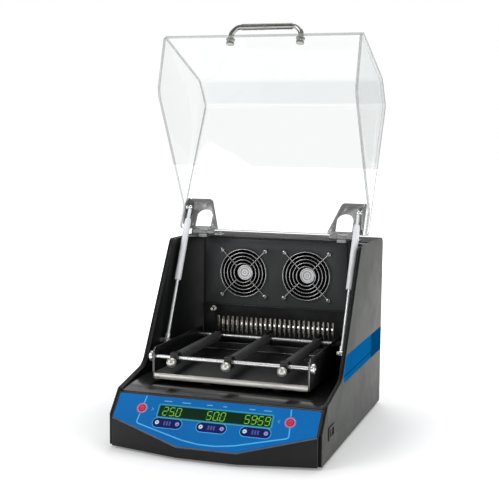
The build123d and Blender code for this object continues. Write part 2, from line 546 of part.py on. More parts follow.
node("strut_rod_right", rod)
node("strut_rod_left", mirror_x(rod))
node("strut_cylinder_right", tube)
node("strut_cylinder_left", mirror_x(tube))
stud = cyl_x(STRUT_B[0], STRUT_B[1], 3.0, STRUT_X - 6.5, TUB_IN) + cyl_x(STRUT_B[0], STRUT_B[1], 6.0, STRUT_X + 5.2, TUB_IN) \
    + cyl_x(STRUT_B[0], STRUT_B[1], 4.6, STRUT_X - 7.5, STRUT_X - 5.2)
node("strut_base_studs", stud, mirror_x(stud))

bb = Compound(children=[s.moved(Location((0, 0, 0))) for n in NODES.values() for s in n.solids()]).bounding_box()
print("nodes", len(NODES), "box", bb.min, bb.max)
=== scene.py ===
import json
import math

import bmesh
import bpy
from mathutils import Matrix, Vector

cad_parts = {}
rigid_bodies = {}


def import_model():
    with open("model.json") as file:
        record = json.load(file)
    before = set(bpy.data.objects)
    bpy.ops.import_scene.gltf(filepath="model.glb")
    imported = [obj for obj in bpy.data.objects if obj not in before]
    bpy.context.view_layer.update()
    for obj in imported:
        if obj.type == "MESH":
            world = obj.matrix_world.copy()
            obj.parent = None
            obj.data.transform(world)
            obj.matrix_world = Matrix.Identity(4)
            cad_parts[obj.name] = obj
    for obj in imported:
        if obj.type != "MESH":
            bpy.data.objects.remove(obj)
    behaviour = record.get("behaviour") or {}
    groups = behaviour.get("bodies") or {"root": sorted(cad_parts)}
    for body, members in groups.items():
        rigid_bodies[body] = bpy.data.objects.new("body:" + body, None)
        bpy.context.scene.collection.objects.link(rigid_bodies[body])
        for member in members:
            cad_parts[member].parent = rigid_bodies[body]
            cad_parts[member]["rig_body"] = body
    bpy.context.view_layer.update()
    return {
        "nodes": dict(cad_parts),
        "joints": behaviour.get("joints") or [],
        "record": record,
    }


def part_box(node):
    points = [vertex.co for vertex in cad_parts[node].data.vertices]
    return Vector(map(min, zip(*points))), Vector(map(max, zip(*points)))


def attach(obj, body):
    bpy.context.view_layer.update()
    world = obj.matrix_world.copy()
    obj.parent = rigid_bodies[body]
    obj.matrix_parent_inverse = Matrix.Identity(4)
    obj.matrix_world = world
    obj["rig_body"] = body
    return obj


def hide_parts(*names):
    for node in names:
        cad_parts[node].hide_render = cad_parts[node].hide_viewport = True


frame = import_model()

REC = frame["record"]
JOINTS = {j["name"]: j for j in frame["joints"]}

# ------------------------------------------------------------------------------------------------
# frames of reference
# ------------------------------------------------------------------------------------------------
S_LO, S_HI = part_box("side_panels")


def D(x, y, z):
    """Drawing millimetres (Y from the side plates' front edge, Z from the housing's underside) to the row frame."""
    return Vector((x / 1000, S_LO.y + y / 1000, S_LO.z + z / 1000))


HINGE = Vector(JOINTS["lid_hinge"]["pos_m"])
LID_ANGLE = math.radians(JOINTS["lid_hinge"]["range_deg"][1])
OPEN = Matrix.Translation(HINGE) @ Matrix.Rotation(-LID_ANGLE, 4, "X") @ Matrix.Translation(-HINGE)

SLOPE_TOP = D(0, 32.0, 88.5)
SLOPE_A = math.atan2(36.5, 32.0)
SL_X = Vector((1, 0, 0))
SL_UP = Vector((0, math.cos(SLOPE_A), math.sin(SLOPE_A)))      # up the slope
SL_N = Vector((0, -math.sin(SLOPE_A), math.cos(SLOPE_A)))      # out of the slope


def SL(x, s, off=0.0):
    """A point on the control slope: x across, s millimetres down from its upper edge, off above it."""
    return SLOPE_TOP + SL_X * (x / 1000) - SL_UP * (s / 1000) + SL_N * (off / 1000)


# ------------------------------------------------------------------------------------------------
# camera, light, floor
# ------------------------------------------------------------------------------------------------
scene = bpy.context.scene
scene.view_settings.view_transform = "Standard"
scene.view_settings.look = "None"
scene.view_settings.exposure = 0.0
scene.view_settings.gamma = 1.0

cam_data = bpy.data.cameras.new("camera")
cam = bpy.data.objects.new("camera", cam_data)
scene.collection.objects.link(cam)
yaw, pitch, roll = math.radians(18.338), math.radians(6.332), 0.01080
d = Vector((-math.sin(yaw) * math.cos(pitch), math.cos(yaw) * math.cos(pitch), -math.sin(pitch)))
r = d.cross(Vector((0, 0, 1))).normalized()
u = r.cross(d)
cr, sr = math.cos(roll), math.sin(roll)
right, up = r * cr + u * sr, r * -sr + u * cr
cam.matrix_world = Matrix((
    (right.x, up.x, -d.x, 0.5640),
    (right.y, up.y, -d.y, -1.7314),
    (right.z, up.z, -d.z, 0.5146),
    (0, 0, 0, 1)))
cam_data.sensor_fit = "HORIZONTAL"
cam_data.sensor_width = 36.0
cam_data.lens = 1048.95 * 36.0 / 499.0
cam_data.clip_start, cam_data.clip_end = 0.05, 100.0
scene.camera = cam

world = bpy.data.worlds.new("studio")
scene.world = world
world.use_nodes = True
wnt = world.node_tree
wnt.nodes.clear()
wo = wnt.nodes.new("ShaderNodeOutputWorld")
wmix = wnt.nodes.new("ShaderNodeMixShader")
wlp = wnt.nodes.new("ShaderNodeLightPath")
bg_seen = wnt.nodes.new("ShaderNodeBackground")
bg_seen.inputs["Color"].default_value = (1.0, 1.0, 1.0, 1)
bg_seen.inputs["Strength"].default_value = 1.0
bg_room = wnt.nodes.new("ShaderNodeBackground")
wtc = wnt.nodes.new("ShaderNodeTexCoord")
wsx = wnt.nodes.new("ShaderNodeSeparateXYZ")
wnt.links.new(wtc.outputs["Generated"], wsx.inputs[0])
wmr = wnt.nodes.new("ShaderNodeMapRange")
wmr.inputs["From Min"].default_value = -1.0
wmr.inputs["From Max"].default_value = 1.0
wnt.links.new(wsx.outputs["Z"], wmr.inputs["Value"])
wcr = wnt.nodes.new("ShaderNodeValToRGB")
el = wcr.color_ramp.elements
el[0].position, el[0].color = 0.0, (0.45, 0.45, 0.45, 1)
el[1].position, el[1].color = 1.0, (0.58, 0.585, 0.59, 1)
for p, c in ((0.44, 0.36), (0.52, 0.14), (0.60, 0.18), (0.76, 0.42)):
    e = el.new(p)
    e.color = (c, c, c, 1)
wnt.links.new(wmr.outputs["Result"], wcr.inputs["Fac"])
wmy = wnt.nodes.new("ShaderNodeMapRange")
wmy.inputs["From Min"].default_value = -1.0
wmy.inputs["From Max"].default_value = 1.0
wmy.inputs["To Min"].default_value = 0.70
wmy.inputs["To Max"].default_value = 1.15
wnt.links.new(wsx.outputs["Y"], wmy.inputs["Value"])
wnt.links.new(wcr.outputs["Color"], bg_room.inputs["Color"])
wnt.links.new(wmy.outputs["Result"], bg_room.inputs["Strength"])
wnt.links.new(wlp.outputs["Is Camera Ray"], wmix.inputs[0])
wnt.links.new(bg_room.outputs[0], wmix.inputs[1])
wnt.links.new(bg_seen.outputs[0], wmix.inputs[2])
wnt.links.new(wmix.outputs[0], wo.inputs[0])


def area_light(name, loc, target, size, size_y, energy, color=(1, 1, 1)):
    ld = bpy.data.lights.new(name, "AREA")
    ld.shape = "RECTANGLE"
    ld.size, ld.size_y = size, size_y
    ld.energy = energy
    ld.color = color
    lo = bpy.data.objects.new(name, ld)
    scene.collection.objects.link(lo)
    lo.location = loc
    lo.rotation_euler = (Vector(target) - Vector(loc)).to_track_quat("-Z", "Y").to_euler()
    return lo


area_light("key", (-1.9, -2.1, 1.9), (0, 0, 0.25), 1.5, 1.5, 30)
area_light("right", (2.3, -0.7, 1.0), (0, 0, 0.2), 1.5, 1.5, 15)
area_light("top", (0.2, 1.1, 2.6), (0, 0, 0.2), 1.8, 1.8, 20)
area_light("back", (-0.6, 2.4, 1.6), (0, 0, 0.3), 1.6, 1.6, 12)

# ------------------------------------------------------------------------------------------------
# materials
# ------------------------------------------------------------------------------------------------


def srgb(r8, g8, b8):
    def f(v):
        v /= 255.0
        return v / 12.92 if v <= 0.04045 else ((v + 0.055) / 1.055) ** 2.4
    return (f(r8), f(g8), f(b8))


def new_mat(name):
    m = bpy.data.materials.new(name)
    m.use_nodes = True
    nt = m.node_tree
    nt.nodes.clear()
    out = nt.nodes.new("ShaderNodeOutputMaterial")
    b = nt.nodes.new("ShaderNodeBsdfPrincipled")
    nt.links.new(b.outputs[0], out.inputs[0])
    return m, nt, b


def noise(nt, coord, scale, detail=3.0, rough=0.55, stretch=(1, 1, 1), distortion=0.0):
    mp = nt.nodes.new("ShaderNodeMapping")
    mp.inputs["Scale"].default_value = stretch
    nt.links.new(coord, mp.inputs["Vector"])
    n = nt.nodes.new("ShaderNodeTexNoise")
    n.inputs["Scale"].default_value = scale
    n.inputs["Detail"].default_value = detail
    n.inputs["Roughness"].default_value = rough
    n.inputs["Distortion"].default_value = distortion
    nt.links.new(mp.outputs[0], n.inputs["Vector"])
    return n.outputs["Fac"]


def ramp(nt, fac, lo, hi, a, b):
    mr = nt.nodes.new("ShaderNodeMapRange")
    mr.inputs["From Min"].default_value = lo
    mr.inputs["From Max"].default_value = hi
    mr.inputs["To Min"].default_value = a
    mr.inputs["To Max"].default_value = b
    nt.links.new(fac, mr.inputs["Value"])
    return mr.outputs["Result"]


def mix_col(nt, fac, a, b):
    mx = nt.nodes.new("ShaderNodeMix")
    mx.data_type = "RGBA"
    for i, v in ((6, a), (7, b)):
        if hasattr(v, "links"):
            nt.links.new(v, mx.inputs[i])
        else:
            mx.inputs[i].default_value = (*v, 1)
    nt.links.new(fac, mx.inputs[0])
    return mx.outputs[2]


def object_coord(nt):
    return nt.nodes.new("ShaderNodeTexCoord").outputs["Object"]


def surface(name, color, metallic=0.0, rough=0.4, spec=0.5, coat=0.0, coat_rough=0.05, ior=1.5,
            var=0.10, var_scale=9.0, tone=None, rough_var=0.08, rough_scale=30.0,
            grain=None, grain_stretch=(1, 1, 1), grain_bump=0.1, grain_dist=0.0004,
            grain_rough=0.0, speck=None, dust=None, sheen=0.0, emission=None, aniso=0.0):
    """A finish with colour drift, blotchy gloss, grain in the bump and optional specks and dust."""
    m, nt, b = new_mat(name)
    co = object_coord(nt)
    b.inputs["Metallic"].default_value = metallic
    b.inputs["Specular IOR Level"].default_value = spec
    b.inputs["IOR"].default_value = ior
    b.inputs["Coat Weight"].default_value = coat
    b.inputs["Coat Roughness"].default_value = coat_rough
    b.inputs["Sheen Weight"].default_value = sheen
    b.inputs["Anisotropic"].default_value = aniso
    big = noise(nt, co, var_scale, 4.0)
    tone = tone or tuple(min(1.0, c * (1 + 2.2 * var)) for c in color)
    dark = tuple(c * (1 - var) for c in color)
    col = mix_col(nt, ramp(nt, big, 0.32, 0.68, 0, 1), dark, tone)
    rr = ramp(nt, noise(nt, co, rough_scale, 5.0), 0.3, 0.7, max(0.01, rough - rough_var), min(1, rough + rough_var))
    if grain:
        g = noise(nt, co, grain, 2.0, 0.5, grain_stretch)
        bp = nt.nodes.new("ShaderNodeBump")
        bp.inputs["Strength"].default_value = grain_bump
        bp.inputs["Distance"].default_value = grain_dist
        nt.links.new(g, bp.inputs["Height"])
        nt.links.new(bp.outputs[0], b.inputs["Normal"])
        if grain_rough:
            ad = nt.nodes.new("ShaderNodeMath")
            ad.operation = "ADD"
            nt.links.new(rr, ad.inputs[0])
            nt.links.new(ramp(nt, g, 0.35, 0.65, -grain_rough, grain_rough), ad.inputs[1])
            rr = ad.outputs[0]
    if speck:
        s_scale, s_col, s_lo, s_hi = speck
        col = mix_col(nt, ramp(nt, noise(nt, co, s_scale, 1.0), s_lo, s_hi, 0, 1), col, s_col)
    if dust:
        d_col, d_amt = dust
        ge = nt.nodes.new("ShaderNodeNewGeometry")
        sx = nt.nodes.new("ShaderNodeSeparateXYZ")
        nt.links.new(ge.outputs["Normal"], sx.inputs[0])
        upw = ramp(nt, sx.outputs["Z"], 0.5, 1.0, 0, d_amt)
        mu = nt.nodes.new("ShaderNodeMath")
        mu.operation = "MULTIPLY"
        nt.links.new(upw, mu.inputs[0])
        nt.links.new(ramp(nt, noise(nt, co, 45.0, 6.0, 0.7), 0.35, 0.75, 0, 1), mu.inputs[1])
        col = mix_col(nt, mu.outputs[0], col, d_col)
    nt.links.new(col, b.inputs["Base Color"])
    nt.links.new(rr, b.inputs["Roughness"])
    if emission:
        b.inputs["Emission Color"].default_value = (*emission[0], 1)
        b.inputs["Emission Strength"].default_value = emission[1]
    return m


BLACK = srgb(22, 23, 24)
M = {}
# outer side faces: dark grey paint, made lighter than it is as a painted reflection of the sheen the black-painted
# sides catch
M["side"] = surface("side_grey_paint_and_painted_reflection", srgb(76, 78, 75), rough=0.54, rough_var=0.06, spec=0.15, var=0.05, var_scale=5,
                    grain=2600, grain_bump=0.16, grain_dist=0.0002, speck=(2100, srgb(108, 109, 107), 0.60, 0.72))
M["side_edge"] = surface("side_edge_worn", srgb(44, 45, 45), rough=0.33, rough_var=0.1, spec=0.5, var=0.12, var_scale=60,
                         grain=900, grain_bump=0.1, speck=(240, srgb(118, 118, 116), 0.64, 0.72))
M["housing"] = surface("housing_black", srgb(15, 16, 16), rough=0.56, rough_var=0.07, spec=0.15, var=0.10, var_scale=7,
                       grain=2400, grain_bump=0.15, grain_dist=0.0002, dust=(srgb(90, 90, 90), 0.06))
# bevel faces of the black parts: a lighter colour that is painted edge highlight together with slightly worn paint
M["housing_edge_wear_and_highlight"] = surface("housing_edge_wear_and_highlight", srgb(34, 35, 36), rough=0.30, rough_var=0.1, var=0.15, var_scale=70,
                            grain=900, grain_bump=0.1)
M["fascia"] = surface("fascia_moulding", srgb(22, 22, 24), rough=0.46, rough_var=0.06, spec=0.25, var=0.10, var_scale=8,
                      grain=3000, grain_bump=0.12, grain_dist=0.00015)
# bevel faces of the fascia: a lighter colour that is painted edge highlight together with slightly worn paint
M["fascia_edge_wear_and_highlight"] = surface("fascia_edge_wear_and_highlight", srgb(34, 38, 42), rough=0.28, rough_var=0.08, var=0.12, var_scale=50,
                           grain=900, grain_bump=0.08)
M["gloss_black"] = surface("tub_gloss_black", srgb(8, 8, 8), rough=0.40, rough_var=0.04, rough_scale=9, spec=0.12, var=0.15,
                           var_scale=12, coat=0.85, coat_rough=0.15, grain=300, grain_bump=0.02, grain_dist=0.0002)
M["block"] = surface("clamp_block_black", srgb(20, 21, 21), rough=0.34, rough_var=0.08, spec=0.5, var=0.12, var_scale=60,
                     grain=1500, grain_bump=0.14, grain_dist=0.0002)
M["hub"] = surface("fan_hub_foil", (0.97, 0.98, 0.99), metallic=0.0, rough=0.34, rough_var=0.08, rough_scale=160, var=0.08, var_scale=200,
                   grain=900, grain_bump=0.10, grain_dist=0.0001)
M["hub_ring"] = surface("fan_hub_print", srgb(176, 178, 184), rough=0.36, rough_var=0.06, var=0.10, var_scale=220, grain=900, grain_bump=0.05)
M["blade"] = surface("fan_blade_black", srgb(8, 8, 9), rough=0.80, rough_var=0.06, spec=0.08, var=0.12, var_scale=60, grain=1400, grain_bump=0.1)
M["guard"] = surface("guard_wire", (0.46, 0.46, 0.46), metallic=1.0, rough=0.24, rough_var=0.06, rough_scale=90, var=0.06, var_scale=90,
                     grain=1200, grain_bump=0.04, grain_dist=0.0001)
M["slope_black"] = surface("slope_rim_black", srgb(15, 15, 16), rough=0.20, rough_var=0.05, spec=0.6, var=0.12, var_scale=14,
                           coat=0.6, coat_rough=0.12, grain=900, grain_bump=0.05, grain_dist=0.0001)
M["satin_black"] = surface("wall_satin_black", srgb(14, 15, 16), rough=0.42, rough_var=0.07, spec=0.3, var=0.12, var_scale=10,
                           grain=2000, grain_bump=0.12, grain_dist=0.0002)
M["panel"] = surface("fan_panel_enamel", srgb(46, 48, 49), rough=0.42, rough_var=0.07, spec=0.35, var=0.10, var_scale=6,
                     grain=2200, grain_bump=0.13, grain_dist=0.0002)
M["tray_black"] = surface("tray_enamel_black", srgb(12, 13, 13), rough=0.42, rough_var=0.09, rough_scale=22, spec=0.5, var=0.15,
                          var_scale=16, grain=1500, grain_bump=0.10, grain_dist=0.0002, speck=(190, srgb(60, 60, 60), 0.70, 0.76))
M["moulding"] = surface("black_moulding", srgb(14, 14, 15), rough=0.45, rough_var=0.08, spec=0.4, var=0.12, var_scale=20,
                        grain=1800, grain_bump=0.14, grain_dist=0.0002)
M["rubber"] = surface("foot_rubber", srgb(18, 18, 18), rough=0.72, rough_var=0.08, spec=0.3, var=0.15, var_scale=40,
                      grain=900, grain_bump=0.2, grain_dist=0.0003, dust=(srgb(120, 118, 112), 0.12))
M["sleeve"] = surface("sleeve_rubber", srgb(38, 41, 38), rough=0.50, rough_var=0.10, rough_scale=50, spec=0.4, var=0.16, var_scale=24,
                      grain=1300, grain_bump=0.25, grain_dist=0.0003, sheen=0.10, dust=(srgb(110, 110, 104), 0.10))
M["belt"] = surface("belt_rubber", srgb(16, 16, 16), rough=0.62, var=0.2, var_scale=60, grain=1400, grain_bump=0.25, grain_stretch=(1, 1, 0.1))
CHROME = (0.80, 0.80, 0.81)
M["chrome"] = surface("polished_chrome", CHROME, metallic=0.92, rough=0.24, rough_var=0.05, rough_scale=60, var=0.05, var_scale=50,
                      grain=260, grain_bump=0.015, grain_dist=0.0002)
M["handle"] = surface("handle_chrome", (0.30, 0.295, 0.28), metallic=1.0, rough=0.14, rough_var=0.06, rough_scale=70, var=0.08, var_scale=60,
                      grain=400, grain_bump=0.03, grain_dist=0.0001)
M["trim"] = surface("slope_trim", srgb(84, 98, 116), rough=0.45, rough_var=0.06, spec=0.2, var=0.10, var_scale=30, grain=1800, grain_bump=0.08)
M["bright"] = surface("bright_nickel", (0.76, 0.75, 0.73), metallic=1.0, rough=0.17, rough_var=0.06, rough_scale=80, var=0.06, var_scale=70,
                      grain=700, grain_bump=0.04, grain_dist=0.0001)
M["knob"] = surface("knob_steel", (0.60, 0.59, 0.55), metallic=0.85, rough=0.36, rough_var=0.07, rough_scale=90, var=0.08, var_scale=80,
                    grain=900, grain_bump=0.05, grain_stretch=(1, 0.2, 1), grain_dist=0.0001)
M["edge_strip"] = surface("strip_brushed", (0.50, 0.49, 0.46), metallic=1.0, rough=0.34, rough_var=0.06, var=0.06, var_scale=14,
                          grain=600, grain_stretch=(0.02, 1, 1), grain_bump=0.10, grain_dist=0.0001, grain_rough=0.08, aniso=0.4)
M["bracket"] = surface("bracket_stainless", (0.26, 0.262, 0.258), metallic=0.9, rough=0.46, rough_var=0.07, var=0.07, var_scale=30,
                       grain=900, grain_stretch=(0.03, 1, 1), grain_bump=0.12, grain_dist=0.0001, grain_rough=0.08, aniso=0.4)
# bevel faces of brackets and tray: a brighter metal that is painted edge highlight together with rubbed edges
M["bracket_edge_wear_and_highlight"] = surface("bracket_edge_wear_and_highlight", (0.40, 0.40, 0.39), metallic=1.0, rough=0.22, rough_var=0.06, var=0.08, var_scale=60,
                            grain=600, grain_bump=0.05)
M["recess"] = surface("screw_recess", srgb(26, 26, 27), rough=0.6, var=0.1, var_scale=200, grain=900, grain_bump=0.1)
M["screw"] = surface("screw_steel", (0.58, 0.58, 0.57), metallic=1.0, rough=0.24, rough_var=0.07, var=0.08, var_scale=160,
                     grain=1500, grain_bump=0.06, grain_dist=0.0001)
M["zinc"] = surface("zinc_sheet", (0.60, 0.61, 0.62), metallic=1.0, rough=0.42, rough_var=0.12, rough_scale=35, var=0.12, var_scale=45,
                    tone=(0.72, 0.73, 0.74), grain=220, grain_bump=0.08)
M["alloy"] = surface("cast_alloy", (0.55, 0.56, 0.57), metallic=1.0, rough=0.40, rough_var=0.08, var=0.08, var_scale=40,
                     grain=900, grain_bump=0.12, grain_dist=0.0002)
M["crank"] = surface("crank_steel", (0.46, 0.46, 0.47), metallic=1.0, rough=0.30, rough_var=0.08, var=0.08, var_scale=40,
                     grain=900, grain_bump=0.06)
M["iron"] = surface("weight_iron", srgb(70, 70, 72), metallic=0.6, rough=0.62, rough_var=0.1, var=0.15, var_scale=60,
                    grain=700, grain_bump=0.3, grain_dist=0.0004)
M["motor"] = surface("motor_enamel", srgb(36, 37, 40), rough=0.40, rough_var=0.08, var=0.1, var_scale=40, grain=1200, grain_bump=0.1)
M["fins"] = surface("heater_alloy", (0.80, 0.74, 0.64), metallic=1.0, rough=0.34, rough_var=0.08, var=0.12, var_scale=80,
                    grain=900, grain_bump=0.08)
M["board"] = surface("circuit_board", srgb(20, 84, 44), rough=0.36, rough_var=0.08, var=0.15, var_scale=120, grain=900, grain_bump=0.1)
M["supply"] = surface("supply_case", (0.66, 0.67, 0.68), metallic=1.0, rough=0.36, rough_var=0.08, var=0.08, var_scale=30,
                      grain=800, grain_stretch=(0.05, 1, 1), grain_bump=0.08)
M["strut"] = surface("strut_enamel", srgb(238, 240, 243), rough=0.24, rough_var=0.06, rough_scale=40, spec=0.5, var=0.04, var_scale=24,
                     coat=0.4, coat_rough=0.08, grain=1200, grain_bump=0.04, grain_dist=0.0001)
M["strut_rod"] = surface("strut_rod_chrome", (0.88, 0.88, 0.89), metallic=0.55, rough=0.30, rough_var=0.05, var=0.05, var_scale=50,
                         grain=1500, grain_stretch=(1, 1, 0.05), grain_bump=0.03, grain_dist=0.0001)
M["overlay"] = surface("overlay_blue", srgb(4, 108, 184), rough=0.46, rough_var=0.05, spec=0.12, var=0.05, var_scale=10,
                       tone=srgb(6, 113, 190), grain=3200, grain_bump=0.10, grain_dist=0.0001)
M["stripe"] = surface("stripe_blue", srgb(8, 92, 150), rough=0.80, rough_var=0.06, spec=0.0, var=0.05, var_scale=10,
                      grain=2600, grain_bump=0.08, grain_dist=0.0001)
M["stripe_dark"] = surface("stripe_blue_dark", srgb(0, 66, 110), rough=0.80, rough_var=0.06, spec=0.0, var=0.06, var_scale=10,
                           grain=2600, grain_bump=0.08, grain_dist=0.0001)
M["print_light"] = surface("print_light_blue", srgb(86, 186, 255), rough=0.46, rough_var=0.05, spec=0.12, var=0.04, grain=2600, grain_bump=0.06)
M["print_navy"] = surface("print_navy", srgb(14, 22, 92), rough=0.46, rough_var=0.05, spec=0.12, var=0.08, var_scale=60, grain=2600, grain_bump=0.06)
M["print_white"] = surface("print_white", srgb(214, 226, 244), rough=0.36, rough_var=0.05, var=0.04, grain=2600, grain_bump=0.06)
M["print_lilac"] = surface("print_lilac", srgb(150, 150, 220), rough=0.36, rough_var=0.05, var=0.04, grain=2600, grain_bump=0.06)
M["print_pink"] = surface("print_pink", srgb(206, 96, 134), rough=0.46, rough_var=0.05, spec=0.12, var=0.05, grain=2600, grain_bump=0.06)
M["key_red"] = surface("key_red", srgb(196, 30, 52), rough=0.36, rough_var=0.06, spec=0.2, var=0.06, var_scale=80, grain=2600, grain_bump=0.08)
M["key_navy"] = surface("key_navy", srgb(16, 24, 98), rough=0.40, rough_var=0.06, spec=0.2, var=0.06, var_scale=80, grain=2600, grain_bump=0.08)
M["lens"] = surface("display_lens", srgb(2, 30, 14), rough=0.22, rough_var=0.03, spec=0.15, var=0.15, var_scale=60,
                    grain=900, grain_bump=0.02, emission=(srgb(2, 38, 14), 0.5))
M["lens_frame"] = surface("display_frame", srgb(52, 160, 150), rough=0.44, rough_var=0.05, var=0.05, grain=2600, grain_bump=0.06)
M["digit_off"] = surface("display_digit_off", srgb(10, 60, 26), rough=0.30, rough_var=0.05, var=0.04, grain=2600, grain_bump=0.03,
                         emission=(srgb(10, 70, 26), 0.3))
M["print_caption"] = surface("print_caption", srgb(120, 176, 222), rough=0.46, rough_var=0.05, spec=0.12, var=0.04, grain=2600, grain_bump=0.06)
M["print_dim"] = surface("print_dim", srgb(70, 78, 150), rough=0.36, rough_var=0.05, var=0.04, grain=2600, grain_bump=0.06)
M["digit"] = surface("display_digit", srgb(96, 160, 34), rough=0.30, rough_var=0.05, var=0.04, grain=2600, grain_bump=0.03,
                     emission=(srgb(118, 186, 44), 0.36))


def sheet(name, tint, body=None, haze=0.0, f0=0.022, gloss_rough=0.05, glance=0.16):
    """Clear cast acrylic: light passes with a slight tint, the surface reflects more at a glancing angle, and a little
    wipe haze sits on it. body and haze add a milky share, for cut and glued edges; the grey body on the cut edges is
    partly painted shade."""
    m = bpy.data.materials.new(name)
    m.use_nodes = True
    nt = m.node_tree
    nt.nodes.clear()
    co = object_coord(nt)
    out = nt.nodes.new("ShaderNodeOutputMaterial")
    tr = nt.nodes.new("ShaderNodeBsdfTransparent")
    tr.inputs["Color"].default_value = (*tint, 1)
    gl = nt.nodes.new("ShaderNodeBsdfGlossy")
    gl.inputs["Color"].default_value = (1, 1, 1, 1)
    nt.links.new(ramp(nt, noise(nt, co, 6.0, 5.0, 0.6, (1, 1, 3)), 0.4, 0.8, gloss_rough, gloss_rough + 0.07), gl.inputs["Roughness"])
    lw = nt.nodes.new("ShaderNodeLayerWeight")
    lw.inputs["Blend"].default_value = 0.5
    pw = nt.nodes.new("ShaderNodeMath")
    pw.operation = "POWER"
    pw.inputs[1].default_value = 5.0
    nt.links.new(lw.outputs["Facing"], pw.inputs[0])
    ma = nt.nodes.new("ShaderNodeMath")
    ma.operation = "MULTIPLY_ADD"
    ma.inputs[1].default_value = glance
    ma.inputs[2].default_value = f0
    nt.links.new(pw.outputs[0], ma.inputs[0])
    m1 = nt.nodes.new("ShaderNodeMixShader")
    nt.links.new(ma.outputs[0], m1.inputs[0])
    nt.links.new(tr.outputs[0], m1.inputs[1])
    nt.links.new(gl.outputs[0], m1.inputs[2])
    df = nt.nodes.new("ShaderNodeBsdfPrincipled")
    df.inputs["Base Color"].default_value = (*(body or (0.9, 0.9, 0.9)), 1)
    df.inputs["Roughness"].default_value = 0.35
    m2 = nt.nodes.new("ShaderNodeMixShader")
    hz = ramp(nt, noise(nt, co, 3.0, 6.0, 0.65), 0.35, 0.75, haze, haze + 0.02)
    nt.links.new(hz, m2.inputs[0])
    nt.links.new(m1.outputs[0], m2.inputs[1])
    nt.links.new(df.outputs[0], m2.inputs[2])
    nt.links.new(m2.outputs[0], out.inputs[0])
    return m


M["acrylic"] = sheet("hood_acrylic", (0.978, 0.984, 0.984))
# the bent band: the same acrylic with a darker tint, painted shade for the darker look the bend has in the light
M["acrylic_band_painted_shade"] = sheet("hood_bend_painted_shade", (0.945, 0.958, 0.958))
# cut edges: the milky frosting of the cut, plus a grey body that is painted shade for the darkening refraction gives an
# edge
M["acrylic_edge_and_painted_shade"] = sheet("hood_cut_edge_and_painted_shade", (0.72, 0.74, 0.73), (0.36, 0.37, 0.36), 0.42, 0.04, 0.10)
M["acrylic_glue"] = sheet("hood_glued_joint", (0.93, 0.94, 0.94), (0.60, 0.61, 0.60), 0.14, 0.03, 0.08)

floor_mat = surface("floor_pale", (0.90, 0.90, 0.90), rough=0.85, rough_var=0.03, spec=0.05, var=0.004, var_scale=0.6,
                    emission=((1, 1, 1), 0.40))
# the floor's glow grows with distance from the object: the weaker glow near it is a painted contact shadow, the
# stronger glow far off keeps the far floor white
fnt = floor_mat.node_tree
fbs = next(n for n in fnt.nodes if n.type == "BSDF_PRINCIPLED")
fco = fnt.nodes.new("ShaderNodeTexCoord")
fln = fnt.nodes.new("ShaderNodeVectorMath")
fln.operation = "LENGTH"
fnt.links.new(fco.outputs["Object"], fln.inputs[0])
fnt.links.new(ramp(fnt, fln.outputs["Value"], 0.24, 0.90, 0.20, 1.05), fbs.inputs["Emission Strength"])

# ------------------------------------------------------------------------------------------------
# mesh helpers
# ------------------------------------------------------------------------------------------------


def finish_mesh(ob, angle=34.0):
    me = ob.data
    me.shade_smooth()
    me.set_sharp_from_angle(angle=math.radians(angle))


def link(name, me, mats, body, slot=None, replaces=(), angle=34.0):
    ob = bpy.data.objects.new(name, me)
    scene.collection.objects.link(ob)
    for m in mats:
        me.materials.append(M[m] if isinstance(m, str) else m)
    finish_mesh(ob, angle)
    if not slot and replaces:
        slot = next((t["material_slot"] for t in REC["subparts"] if t["node"] == replaces[0]), None)
    if replaces:
        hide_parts(*replaces)
    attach(ob, body)
    return ob


def bm_to_mesh(bm, name):
    me = bpy.data.meshes.new(name)
    bmesh.ops.recalc_face_normals(bm, faces=bm.faces[:])
    bm.to_mesh(me)
    bm.free()
    return me


def refine(node, name, mats, width=0.5, seg=2, angle=40.0, slot=None, edge_slot=None, face_rule=None, dissolve=True):
    """The node's own shape with its corners broken: welded, flattened to clean faces, hard edges rounded."""
    src = frame["nodes"][node]
    bm = bmesh.new()
    bm.from_mesh(src.data)
    bmesh.ops.remove_doubles(bm, verts=bm.verts[:], dist=1e-6)
    bmesh.ops.recalc_face_normals(bm, faces=bm.faces[:])
    for f in bm.faces:
        f.material_index = 0
    if dissolve:
        bmesh.ops.dissolve_limit(bm, angle_limit=math.radians(0.6), verts=bm.verts[:], edges=bm.edges[:], delimit={"NORMAL"})
    bm.edges.ensure_lookup_table()
    if width > 0:
        hard = [e for e in bm.edges if len(e.link_faces) == 2 and e.calc_face_angle(0.0) > math.radians(angle)]
        if hard:
            bmesh.ops.bevel(bm, geom=hard, offset=width / 1000, offset_type="OFFSET", segments=seg, profile=0.5,
                            affect="EDGES", clamp_overlap=False, material=edge_slot if edge_slot is not None else -1,
                            loop_slide=True)
    if face_rule:
        bm.faces.ensure_lookup_table()
        bm.normal_update()
        for f in bm.faces:
            if edge_slot is None or f.material_index != edge_slot:
                f.material_index = face_rule(f)
    me = bm_to_mesh(bm, name)
    body = src["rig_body"]
    sl = slot or next((s["material_slot"] for s in REC["subparts"] if s["node"] == node), None)
    return link(name, me, mats, body, sl, (node,))


